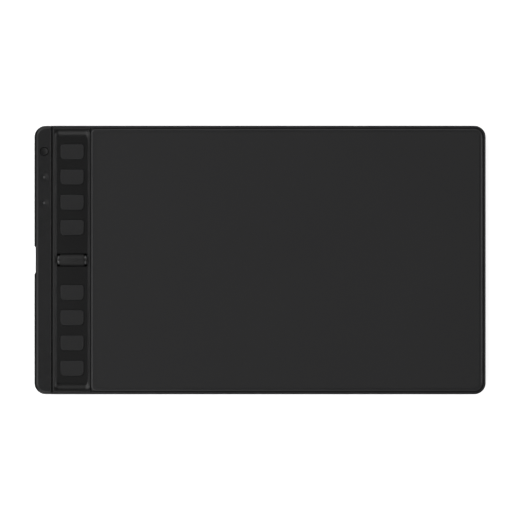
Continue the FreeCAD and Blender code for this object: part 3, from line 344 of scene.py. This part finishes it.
@dataclass(frozen=True)
class Finish:
    """A finish with a name; each kind says how it is shaded."""

    name: str

    def shade(self, graph: Graph) -> None:
        """Fills the material.

        Args:
            graph: the empty material.
        """
        raise NotImplementedError

    def material(self) -> bpy.types.Material:
        """Gives the finish's material, made once.

        Returns:
            The material.
        """
        title = f"finish_{self.name}"
        known = bpy.data.materials.get(title)
        if known is None:
            known = bpy.data.materials.new(title)
            self.shade(Graph(known))
        return known

    def dress(self, piece: bpy.types.Object) -> None:
        """Puts the finish on a piece.

        Args:
            piece: the object to dress.
        """
        piece.data.materials.clear()
        piece.data.materials.append(self.material())


@dataclass(frozen=True)
class MouldedPlastic(Finish):
    """Dark moulded plastic: a satin face with a fine grain, and coarser matte flanks whose colour
    is painted shade or painted light.

    A surface's slope is 0 where it lies flat and 1 where it stands upright. It is all face below
    the first of flank_slopes and all flank above the second.
    """

    colour: Colour = (0.011, 0.011, 0.0115)
    roughness: float = 0.3
    specular: float = 0.25
    grain: float = 0.22 * MM
    depth: float = 0.006 * MM
    mottle: float = 0.12
    cloud: float = 26 * MM
    cloud_share: float = 0.7
    cloud_sheen: float = 0.06
    grain_share: float = 0.6
    grain_sheen: float = 0.05
    pit_scale: float = 1.7
    pit_sheen: float = 0.1
    # Flank colour against the face's: painted shade below 1, painted light above 1
    flank_painted_shading: float = 0.7
    flank_roughness: float = 0.75
    flank_specular: float = 0.06
    flank_depth: float = 2.0
    flank_slopes: Pair = (0.07, 0.22)
    flank_span: Pair = (-BEYOND, BEYOND)
    flank_fade: float = 1.0 * MM

    def flank(self, graph: Graph) -> Wave:
        """Finds the flanks by their slope, within a span along X.

        Args:
            graph: the material.

        Returns:
            1 on the flanks and 0 on the faces.
        """
        start, end = self.flank_span
        along = graph.axis("X", Source.PLACE)
        before = along.ramp(start, start + self.flank_fade)
        after = along.ramp(end - self.flank_fade, end)
        slope = 1 - abs(graph.axis("Z", Source.NORMAL))
        return slope.ramp(*self.flank_slopes) * before * (1 - after)

    def shade(self, graph: Graph) -> None:
        """Mixes the satin face with the matte flanks, whose colour is painted shade or painted
        light.

        Args:
            graph: the empty material.
        """
        cloud = graph.noise(self.cloud, RICH)
        grain = graph.noise(self.grain, FINE)
        pits = graph.cells(self.grain * self.pit_scale)
        light = toned(self.colour, 1 + self.mottle)
        dark = toned(self.colour, 1 - self.mottle)
        share = cloud * self.cloud_share + grain * (1 - self.cloud_share)
        relief = grain * self.grain_share + pits * (1 - self.grain_share)
        sheen = cloud.swing(self.cloud_sheen) + grain.swing(self.grain_sheen)
        face = graph.shader(
            Base_Color=graph.blend(share, dark, light),
            Roughness=self.roughness + sheen,
            Specular_IOR_Level=self.specular,
            Normal=graph.bump(relief, self.depth),
        )
        side = graph.shader(
            # The flanks' colour is the face's scaled by the slope factor: painted shade below 1,
            # painted light above 1
            Base_Color=graph.blend(grain, toned(self.colour, self.flank_painted_shading), self.colour),
            Roughness=self.flank_roughness + pits.swing(self.pit_sheen),
            Specular_IOR_Level=self.flank_specular,
            Normal=graph.bump(pits, self.depth * self.flank_depth),
        )
        inputs = {0: self.flank(graph), 1: face, 2: side}
        graph.finish(Wave(graph, graph.node("ShaderNodeMixShader", {}, inputs).outputs[0]))


@dataclass(frozen=True)
class WritingFilm(Finish):
    """Paper-like film: a very fine tooth with faint longer fibres."""

    colour: Colour = (0.0122, 0.0122, 0.0126)
    roughness: float = 0.56
    specular: float = 0.25
    tooth: float = 0.18 * MM
    fine: float = 0.09 * MM
    depth: float = 0.004 * MM
    mottle: float = 0.1
    fibre: float = 0.5 * MM
    fibre_stretch: Triple = (1.0, 0.22, 1.0)
    cloud: float = 60 * MM
    cloud_share: float = 0.6
    sheen: float = 0.05
    tooth_relief: float = 0.5
    fine_relief: float = 0.35
    fibre_relief: float = 0.15

    def shade(self, graph: Graph) -> None:
        """Mixes tooth, fibres and a slow change of sheen.

        Args:
            graph: the empty material.
        """
        tooth = graph.cells(self.tooth)
        fine = graph.noise(self.fine, SOFT)
        fibres = graph.noise(self.fibre, FINE, self.fibre_stretch)
        cloud = graph.noise(self.cloud, FINE)
        light = toned(self.colour, 1 + self.mottle)
        dark = toned(self.colour, 1 - self.mottle)
        share = cloud * self.cloud_share + fine * (1 - self.cloud_share)
        relief = tooth * self.tooth_relief + fine * self.fine_relief + fibres * self.fibre_relief
        graph.surface(
            Base_Color=graph.blend(share, dark, light),
            Roughness=self.roughness + cloud.swing(self.sheen) + fibres.swing(self.sheen),
            Specular_IOR_Level=self.specular,
            Normal=graph.bump(relief, self.depth),
        )


@dataclass(frozen=True)
class Rubber(Finish):
    """Satin rubber with a soft skin and fine dust in its pores."""

    colour: Colour = (0.01, 0.01, 0.01)
    roughness: float = 0.6
    specular: float = 0.3
    pore: float = 0.12 * MM
    pore_depth: float = 0.004 * MM
    dust: float = 0.3
    dust_floor: float = 0.001
    dust_span: Pair = (0.05, 0.6)
    cloud: float = 4 * MM
    sheen: float = 0.1

    def shade(self, graph: Graph) -> None:
        """Mixes pores, dust and a slow change of sheen.

        Args:
            graph: the empty material.
        """
        pores = graph.cells(self.pore)
        cloud = graph.noise(self.cloud, RICH)
        dusty = tuple(part * (1 + self.dust) + self.dust_floor for part in self.colour)
        graph.surface(
            Base_Color=graph.blend((pores * cloud).ramp(*self.dust_span), self.colour, dusty),
            Roughness=self.roughness + cloud.swing(self.sheen),
            Specular_IOR_Level=self.specular,
            Normal=graph.bump(pores, self.pore_depth),
        )


@dataclass(frozen=True)
class PolishedPlastic(Finish):
    """Glossy plastic with faint hairlines from handling."""

    colour: Colour = (0.012, 0.012, 0.013)
    roughness: float = 0.16
    specular: float = 0.5
    hairline: float = 0.35 * MM
    hairline_stretch: Triple = (8.0, 1.0, 1.0)
    hairline_depth: float = 0.001 * MM
    hairline_sheen: float = 0.06
    smear: float = 3 * MM
    smear_light: float = 1.15
    smear_sheen: float = 0.04

    def shade(self, graph: Graph) -> None:
        """Mixes hairlines and smears into the gloss.

        Args:
            graph: the empty material.
        """
        lines = graph.noise(self.hairline, FINE, self.hairline_stretch)
        smear = graph.noise(self.smear, FINE)
        graph.surface(
            Base_Color=graph.blend(smear, self.colour, toned(self.colour, self.smear_light)),
            Roughness=self.roughness + lines * self.hairline_sheen + smear * self.smear_sheen,
            Specular_IOR_Level=self.specular,
            Normal=graph.bump(lines, self.hairline_depth),
        )


class Lay(Enum):
    """Direction that a metal was worked in."""

    ALONG = (0.05, 1.0, 1.0)
    ACROSS = (1.0, 0.05, 1.0)
    EVEN = (1.0, 1.0, 1.0)


@dataclass(frozen=True)
class Metal(Finish):
    """Plated or ground metal with fine lines and a little tarnish."""

    colour: Colour = (0.55, 0.55, 0.56)
    roughness: float = 0.28
    lay: Lay = Lay.EVEN
    line: float = 0.08 * MM
    line_depth: float = 0.0015 * MM
    line_share: float = 0.15
    line_sheen: float = 0.12
    tarnish: Colour = (0.32, 0.3, 0.28)
    spot: float = 2.5 * MM
    spot_span: Pair = (0.5, 0.85)
    spot_share: float = 0.5
    spot_sheen: float = 0.15

    def shade(self, graph: Graph) -> None:
        """Mixes worked lines and tarnish.

        Args:
            graph: the empty material.
        """
        lines = graph.noise(self.line, FINE, self.lay.value)
        spots = graph.noise(self.spot, RICH).ramp(*self.spot_span)
        share = spots * self.spot_share + lines * self.line_share
        graph.surface(
            Base_Color=graph.blend(share, self.colour, self.tarnish),
            Metallic=1.0,
            Roughness=self.roughness + lines * self.line_sheen + spots * self.spot_sheen,
            Normal=graph.bump(lines, self.line_depth),
        )


@dataclass(frozen=True)
class Laminate(Finish):
    """Circuit board: solder resist over a web of tracks."""

    resist: Colour = (0.012, 0.09, 0.03)
    track: Colour = (0.03, 0.17, 0.06)
    track_depth: float = 0.02 * MM
    track_edge: Pair = (0.06, 0.14)
    track_share: float = 0.75
    pitch: float = 0.9 * MM
    cloud: float = 5 * MM
    roughness: float = 0.3
    sheen: float = 0.12

    def shade(self, graph: Graph) -> None:
        """Draws tracks under the resist.

        Args:
            graph: the empty material.
        """
        line = 1 - graph.cells(self.pitch, Cell.BORDER).ramp(*self.track_edge)
        cloud = graph.noise(self.cloud, FINE)
        share = line * (self.track_share + cloud * (1 - self.track_share))
        graph.surface(
            Base_Color=graph.blend(share, self.resist, self.track),
            Roughness=self.roughness + cloud * self.sheen,
            Normal=graph.bump(line, self.track_depth),
        )


@dataclass(frozen=True)
class ClearMoulding(Finish):
    """Clear plastic of a light guide, milky inside."""

    colour: Colour = (0.085, 0.085, 0.087)
    milk: float = 1.25
    cloud: float = 0.5 * MM
    cloud_depth: float = 0.003 * MM
    roughness: float = 0.1
    sheen: float = 0.1
    transmission: float = 0.25
    refraction: float = 1.49

    def shade(self, graph: Graph) -> None:
        """Mixes a milky cloud into the clear body.

        Args:
            graph: the empty material.
        """
        cloud = graph.noise(self.cloud, FINE)
        graph.surface(
            Base_Color=graph.blend(cloud, self.colour, toned(self.colour, self.milk)),
            Roughness=self.roughness + cloud * self.sheen,
            Transmission_Weight=self.transmission,
            IOR=self.refraction,
            Normal=graph.bump(cloud, self.cloud_depth),
        )


@dataclass(frozen=True)
class Ceramic(Finish):
    """Small fired or moulded parts with a speckled body."""

    colour: Colour = (0.36, 0.26, 0.16)
    roughness: float = 0.5
    sheen: float = 0.15
    shadow: float = 0.72
    speckle: float = 0.12 * MM
    speckle_depth: float = 0.004 * MM
    speckle_share: float = 0.6
    cloud: float = 1.2 * MM

    def shade(self, graph: Graph) -> None:
        """Speckles the body.

        Args:
            graph: the empty material.
        """
        speckle = graph.cells(self.speckle)
        cloud = graph.noise(self.cloud, FINE)
        share = speckle * self.speckle_share + cloud * (1 - self.speckle_share)
        graph.surface(
            Base_Color=graph.blend(share, toned(self.colour, self.shadow), self.colour),
            Roughness=self.roughness + cloud.swing(self.sheen),
            Normal=graph.bump(speckle, self.speckle_depth),
        )


@dataclass(frozen=True)
class StudioPaper(Finish):
    """Pale paper under the tablet; it shows white and keeps the tablet's shadow."""

    colour: Colour = (0.8, 0.8, 0.8)
    glow: float = 0.7
    mirrored_glow: float = 0.2

    def shade(self, graph: Graph) -> None:
        """Lets the paper glow where it is seen.

        Args:
            graph: the empty material.
        """
        seen, mirrored = graph.rays()
        glow = seen * self.glow + mirrored * self.mirrored_glow
        paper = graph.node("ShaderNodeBsdfDiffuse", {}, {"Color": (*self.colour, 1.0)})
        light = graph.node("ShaderNodeEmission", {}, {"Strength": glow})
        both = graph.node("ShaderNodeAddShader", {}, {0: paper.outputs[0], 1: light.outputs[0]})
        graph.finish(Wave(graph, both.outputs[0]))


# The plate's steep edges, except its left rounding, are coloured at half its tone: painted shade
PLATE = MouldedPlastic(
    "plate_plastic",
    colour=(0.0198, 0.0198, 0.0204),
    flank_painted_shading=0.5,
    flank_specular=0.12,
    flank_slopes=(0.09, 0.28),
    flank_span=(PLATE_EDGE, BEYOND),
)
# Cover, base, rail, key caps and button colour their flanks at 0.7 of their tone: painted shade
COVER = MouldedPlastic(
    "cover_plastic",
    colour=(0.012, 0.012, 0.0124),
    roughness=0.36,
    specular=0.35,
    grain=0.3 * MM,
)
BASE = MouldedPlastic("base_plastic", roughness=0.58, grain=0.42 * MM, depth=0.012 * MM)
RAIL = MouldedPlastic(
    "rail_plastic",
    colour=(0.0125, 0.0125, 0.0129),
    roughness=0.28,
    grain=0.2 * MM,
    flank_span=(-BEYOND, RAIL_EDGE),
)
# The key panel's sloped walls and lands are coloured six times lighter than its floor: painted
# light
PANEL = MouldedPlastic(
    "panel_plastic",
    colour=(0.0018, 0.0018, 0.0019),
    specular=0.3,
    flank_painted_shading=6.0,
    flank_roughness=0.5,
    flank_specular=0.5,
    flank_slopes=(0.025, 0.13),
)
KEYCAP = MouldedPlastic(
    "key_plastic",
    colour=(0.013, 0.013, 0.0134),
    roughness=0.4,
    grain=0.14 * MM,
    depth=0.003 * MM,
    flank_slopes=(0.25, 0.5),
)
BUTTON = MouldedPlastic("button_plastic", colour=(0.006, 0.006, 0.0062), roughness=0.36)
FILM = WritingFilm("writing_film")
GRIP = Rubber("grip_rubber", colour=(0.012, 0.012, 0.012), roughness=0.5, specular=0.2)
FOOT = Rubber("foot_rubber", colour=(0.013, 0.013, 0.013), roughness=0.75, pore=0.3 * MM)
RIM = PolishedPlastic("rim_gloss", colour=(0.009, 0.009, 0.0094), roughness=0.2, specular=0.7)
PLUNGER = PolishedPlastic("plunger_plastic", colour=(0.62, 0.62, 0.6), roughness=0.3)
SADDLE = PolishedPlastic("saddle_plastic", colour=(0.03, 0.03, 0.031), roughness=0.4)
SOCKET = PolishedPlastic("socket_plastic", colour=(0.5, 0.48, 0.42), roughness=0.45)
RIBBON = PolishedPlastic("ribbon_film", colour=(0.42, 0.2, 0.04), roughness=0.25)
LAMP = PolishedPlastic("lamp_body", colour=(0.7, 0.7, 0.6), roughness=0.3)
PACKAGE = Ceramic("package_black", colour=(0.022, 0.022, 0.024), roughness=0.45)
CHIP_PART = Ceramic("component_body")
TONGUE = Ceramic("tongue_black", colour=(0.016, 0.016, 0.017), roughness=0.4)
GUIDE = ClearMoulding("light_guide")
BOARD = Laminate("board_laminate")
SCREW = Metal("screw_zinc", colour=(0.3, 0.3, 0.31), roughness=0.34)
SHELL = Metal("port_nickel", colour=(0.6, 0.58, 0.54), roughness=0.22, lay=Lay.ALONG)
SHAFT = Metal("shaft_steel", colour=(0.06, 0.06, 0.062), roughness=0.3, lay=Lay.ACROSS)
SCREEN = Metal("screen_tin", colour=(0.6, 0.6, 0.6), roughness=0.35, lay=Lay.ALONG)
GOLD = Metal("contact_gold", colour=(0.83, 0.58, 0.22), roughness=0.2, tarnish=(0.6, 0.4, 0.16))
PAPER = StudioPaper("floor_paper")


# Helpers


def dress_nodes(finishes: dict[str, Finish]) -> None:
    """Dresses CAD nodes and reports them.

    Args:
        finishes: finish of each node by name.
    """
    for name, finish in finishes.items():
        finish.dress(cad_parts[name])
        log.info("node %s: %s", name, finish.name)


def add_object(name: str, data: bpy.types.ID) -> bpy.types.Object:
    """Adds an object to the scene.

    Args:
        name: its name.
        data: its mesh, lamp or camera.

    Returns:
        The new object, at the origin.
    """
    item = bpy.data.objects.new(name, data)
    bpy.context.scene.collection.objects.link(item)
    return item


def make_piece(name: str, mesh: bmesh.types.BMesh, finish: Finish, body: str) -> bpy.types.Object:
    """Turns a bmesh into a dressed object that rides on a body.

    Args:
        name: the piece's name.
        mesh: its shape in the tablet's frame, freed here.
        finish: what it is dressed in.
        body: the body that carries it.

    Returns:
        The new object, at the origin.
    """
    bmesh.ops.remove_doubles(mesh, verts=mesh.verts, dist=MERGE_DISTANCE)
    bmesh.ops.recalc_face_normals(mesh, faces=mesh.faces)
    data = bpy.data.meshes.new(name)
    mesh.to_mesh(data)
    mesh.free()
    for face in data.polygons:
        face.use_smooth = True
    data.set_sharp_from_angle(angle=SHARP_ANGLE)
    piece = add_object(name, data)
    finish.dress(piece)
    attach(piece, body)
    log.info("piece %s: %d faces on %s", name, len(data.polygons), body)
    return piece


def spun_ring(half: Outline, centre: Vector, steps: int) -> bmesh.types.BMesh:
    """Spins an outline and its mirror image round an axis along X.

    Args:
        half: (place along the axis, radius) pairs of the half on the +X side.
        centre: middle of the ring.
        steps: facets round the turn.

    Returns:
        The closed ring.
    """
    mesh = bmesh.new()
    outline = half + [(-along, radius) for along, radius in reversed(half)]
    corners = [mesh.verts.new(centre + Vector((along, 0, radius))) for along, radius in outline]
    edges = [mesh.edges.new((corners[i - 1], corners[i])) for i in range(len(corners))]
    bmesh.ops.spin(
        mesh,
        geom=corners + edges,
        cent=centre,
        axis=(1, 0, 0),
        angle=math.tau,
        steps=steps,
        use_merge=True,
    )
    return mesh


def bevelled_box(mesh: bmesh.types.BMesh, low: Vector, high: Vector, radius: float) -> None:
    """Adds a box with rounded edges.

    Args:
        mesh: where the box is added.
        low: its lowest corner.
        high: its highest corner.
        radius: rounding of its edges.
    """
    size = high - low
    matrix = Matrix.Translation((low + high) / 2) @ Matrix.Diagonal((*size, 1))
    made = bmesh.ops.create_cube(mesh, size=1.0, matrix=matrix)
    edges = list({edge for vert in made["verts"] for edge in vert.link_edges})
    bmesh.ops.bevel(
        mesh,
        geom=edges,
        offset=radius,
        offset_type="OFFSET",
        segments=BEVEL_SEGMENTS,
        profile=0.5,
        affect="EDGES",
        material=-1,
    )


# Sub-assemblies


@dataclass
class Shells:
    """Covers, rail, key panel, plate, feet and the screws that hold them."""

    finishes: dict[str, Finish] = field(
        default_factory=lambda: {
            "bottom_cover": BASE,
            "top_cover": COVER,
            "side_rail": RAIL,
            "key_panel": PANEL,
            "drawing_plate": PLATE,
            "drawing_film": FILM,
            "foot_front_left": FOOT,
            "foot_front_right": FOOT,
            "foot_back_left": FOOT,
            "foot_back_right": FOOT,
            "housing_screws": SCREW,
            "panel_screws": SCREW,
        }
    )

    def dress(self) -> None:
        """Dresses every shell."""
        dress_nodes(self.finishes)


@dataclass
class Electronics:
    """Boards and what is soldered to them."""

    finishes: dict[str, Finish] = field(
        default_factory=lambda: {
            "sensor_board": BOARD,
            "key_board": BOARD,
            "shield_plate": SCREEN,
            "switch_bodies": PACKAGE,
            "controller_chips": PACKAGE,
            "board_components": CHIP_PART,
            "indicator_leds": LAMP,
            "indicator_lens_1": GUIDE,
            "indicator_lens_2": GUIDE,
            "flex_connectors": SOCKET,
            "flex_cable": RIBBON,
            "board_screws": SCREW,
            "wheel_encoder": PACKAGE,
            "wheel_bearing": SADDLE,
        }
    )

    def dress(self) -> None:
        """Dresses the boards and their parts."""
        dress_nodes(self.finishes)


@dataclass
class Port:
    """Cable port: shell, tongue and its gold contacts."""

    contact_count: int = 12
    contact_pitch: float = 0.5 * MM
    contact_length: float = 3.4 * MM
    contact_width: float = 0.28 * MM
    contact_height: float = 0.04 * MM
    contact_sink: float = 0.01 * MM
    contact_round: float = 0.012 * MM
    front_gap: float = 0.5 * MM
    tongue_half: float = 0.35 * MM

    def dress(self) -> None:
        """Dresses the shell and the tongue."""
        dress_nodes({"usb_shell": SHELL, "usb_tongue": TONGUE})

    def contacts(self) -> bpy.types.Object:
        """Builds the contacts on both faces of the tongue.

        Returns:
            The contacts as one piece.
        """
        tongue, _ = (Vector(corner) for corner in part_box("usb_tongue"))
        bottom, top = (Vector(corner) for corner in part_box("usb_shell"))
        front = tongue.x + self.front_gap
        middle = (bottom.z + top.z) / 2
        half = self.contact_width / 2
        mesh = bmesh.new()
        for index in range(self.contact_count):
            y = (index - (self.contact_count - 1) / 2) * self.contact_pitch
            for side in (-1, 1):
                face = middle + side * self.tongue_half
                ends = (face - side * self.contact_sink, face + side * self.contact_height)
                near = Vector((front, y - half, min(ends)))
                far = Vector((front + self.contact_length, y + half, max(ends)))
                bevelled_box(mesh, near, far, self.contact_round)
        piece = make_piece("port_contacts", mesh, GOLD, HOUSING)
        return piece


@dataclass
class Keys:
    """Key caps, the rail's round button and their plungers."""

    count: int = 8

    def dress(self) -> None:
        """Dresses the caps, the button and the plungers."""
        nodes: dict[str, Finish] = {"group_key": BUTTON, "group_key_plunger": PLUNGER}
        for index in range(1, self.count + 1):
            nodes[f"key_{index}"] = KEYCAP
            nodes[f"key_plunger_{index}"] = PLUNGER
        dress_nodes(nodes)


@dataclass
class ScrollWheel:
    """Grip sleeve and hub with polished end rims."""

    body: str = "scroll_wheel"
    steps: int = 96
    shoulder: float = 0.5 * MM
    arc_steps: int = 6
    rim_width: float = 1.3 * MM
    rim_drop: float = 0.6 * MM
    rim_round: float = 0.25 * MM
    rim_chamfer: float = 0.08 * MM
    grip_depth: float = 0.98 * MM
    sleeve: float = 1.0 * MM
    bore: float = 0.77 * MM
    cup_depth: float = 0.35 * MM
    cup_inner: float = 1.3 * MM
    cup_outer: float = 2.4 * MM

    def dress(self) -> None:
        """Dresses the axle."""
        dress_nodes({"wheel_axle": SHAFT})

    def rounding(self, half: float, radius: float, size: float) -> Outline:
        """Rounds the corner between an end and the outside of a ring.

        Args:
            half: place of the end along the axis.
            radius: radius of the outside.
            size: radius of the rounding.

        Returns:
            The outline from the end to the outside.
        """
        turns = [math.pi / 2 * step / self.arc_steps for step in range(self.arc_steps + 1)]
        return [
            (half - size * (1 - math.cos(turn)), radius - size * (1 - math.sin(turn)))
            for turn in turns
        ]

    def hub(self) -> bpy.types.Object:
        """Builds the hub: a bored core, rounded end rims and shallow cups in its ends.

        Returns:
            The hub, in place of the plain one.
        """
        low, high = (Vector(corner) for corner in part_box("wheel_core"))
        centre = (low + high) / 2
        half, radius = (high.x - low.x) / 2, (high.z - low.z) / 2
        core = radius + self.rim_drop - self.sleeve
        outline = [
            (half, self.bore),
            (half, self.cup_inner - self.cup_depth / 2),
            (half - self.cup_depth, self.cup_inner),
            (half - self.cup_depth, self.cup_outer),
            (half, self.cup_outer + self.cup_depth / 2),
            *self.rounding(half, radius, self.rim_round),
            (half - self.rim_width + self.rim_chamfer, radius),
            (half - self.rim_width, radius - self.rim_chamfer),
            (half - self.rim_width, core),
        ]
        mesh = spun_ring(outline, centre, self.steps)
        piece = make_piece("wheel_hub", mesh, RIM, self.body)
        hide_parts("wheel_core")
        return piece

    def grip(self) -> bpy.types.Object:
        """Builds the grip sleeve with rounded shoulders.

        Returns:
            The sleeve, in place of the plain one.
        """
        low, high = (Vector(corner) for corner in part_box("wheel_tyre"))
        centre = (low + high) / 2
        half, radius = (high.x - low.x) / 2, (high.z - low.z) / 2
        outline = [(half, radius - self.grip_depth), *self.rounding(half, radius, self.shoulder)]
        mesh = spun_ring(outline, centre, self.steps)
        piece = make_piece("wheel_grip", mesh, GRIP, self.body)
        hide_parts("wheel_tyre")
        return piece


# Studio


@dataclass(frozen=True)
class Softbox:
    """A wide lamp that looks at the tablet; its power is in watts."""

    name: str
    place: Triple
    size: Pair
    power: float

    def hang(self) -> None:
        """Adds the lamp to the scene."""
        data = bpy.data.lights.new(self.name, "AREA")
        data.shape = "RECTANGLE"
        data.size, data.size_y = self.size
        data.energy = self.power
        lamp = add_object(self.name, data)
        lamp.location = self.place
        lamp.rotation_euler = (-Vector(self.place)).to_track_quat("-Z", "Y").to_euler()
        lamp.visible_camera = False


SOFTBOXES = (
    Softbox("softbox_over", (0.0, 0.0, 1.6), (1.4, 1.4), 0.6),
    Softbox("softbox_key", (-0.95, 0.84, 1.4), (1.1, 0.8), 10.0),
    Softbox("softbox_far", (0.2, 1.35, 1.2), (1.4, 0.5), 3.8),
    Softbox("softbox_left", (-1.04, -0.2, 1.6), (0.5, 1.4), 7.0),
    Softbox("softbox_near", (-0.6, -1.1, 1.45), (1.1, 0.6), 7.3),
    Softbox("softbox_right", (1.35, 0.1, 1.2), (0.5, 1.4), 6.5),
)


@dataclass
class Studio:
    """Floor, lamps, world and camera."""

    picture: float = 309.46 * MM
    lens: float = 300.0
    sensor: float = 36.0
    outline_height: float = 4.0 * MM
    softboxes: tuple[Softbox, ...] = SOFTBOXES
    floor_size: float = 8.0
    backdrop_strength: float = 1.0
    horizon_strength: float = 0.8
    horizon_height: float = 0.5
    zenith_strength: float = 0.12
    ceiling_heights: Pair = (0.45, 0.75)
    ceiling_strength: float = 0.08

    def camera(self) -> None:
        """Places the camera straight above the tablet."""
        data = bpy.data.cameras.new("camera")
        data.lens = self.lens
        data.sensor_width = self.sensor
        distance = self.picture * self.lens / self.sensor
        camera = add_object("camera", data)
        camera.location = (0, 0, distance + self.outline_height)
        bpy.context.scene.camera = camera

    def lamps(self) -> None:
        """Hangs the softboxes."""
        for softbox in self.softboxes:
            softbox.hang()

    def world(self) -> None:
        """Lights the surroundings; what is seen of them is white below a dim ceiling."""
        world = bpy.data.worlds.new("studio")
        graph = Graph(world)
        height = graph.axis("Z", Source.RAY)
        camera, mirrored = graph.rays()
        rise = height.ramp(0.0, self.horizon_height)
        sky = self.horizon_strength + rise * (self.zenith_strength - self.horizon_strength)
        ceiling = height.ramp(*self.ceiling_heights)
        fall = self.ceiling_strength - self.backdrop_strength
        white = self.backdrop_strength + ceiling * fall
        lit, backdrop = (
            graph.node("ShaderNodeBackground", {}, {"Color": (1, 1, 1, 1), "Strength": strength})
            for strength in (sky, white)
        )
        inputs = {0: camera + mirrored, 1: lit.outputs[0], 2: backdrop.outputs[0]}
        mixed = graph.node("ShaderNodeMixShader", {}, inputs)
        graph.node("ShaderNodeOutputWorld", {}, {"Surface": mixed.outputs[0]})
        bpy.context.scene.world = world

    def floor(self) -> None:
        """Lays the pale floor."""
        mesh = bmesh.new()
        bmesh.ops.create_grid(mesh, x_segments=1, y_segments=1, size=self.floor_size / 2)
        data = bpy.data.meshes.new("floor")
        mesh.to_mesh(data)
        mesh.free()
        floor = add_object("floor", data)
        PAPER.dress(floor)


def main() -> None:
    """Builds the studio and every sub-assembly in order."""
    bpy.context.scene.view_settings.view_transform = "Standard"
    studio = Studio()
    studio.camera()
    studio.lamps()
    studio.world()
    studio.floor()
    Shells().dress()
    Electronics().dress()
    port = Port()
    port.dress()
    port.contacts()
    Keys().dress()
    wheel = ScrollWheel()
    wheel.dress()
    wheel.hub()
    wheel.grip()


if __name__ == "__main__":
    main()
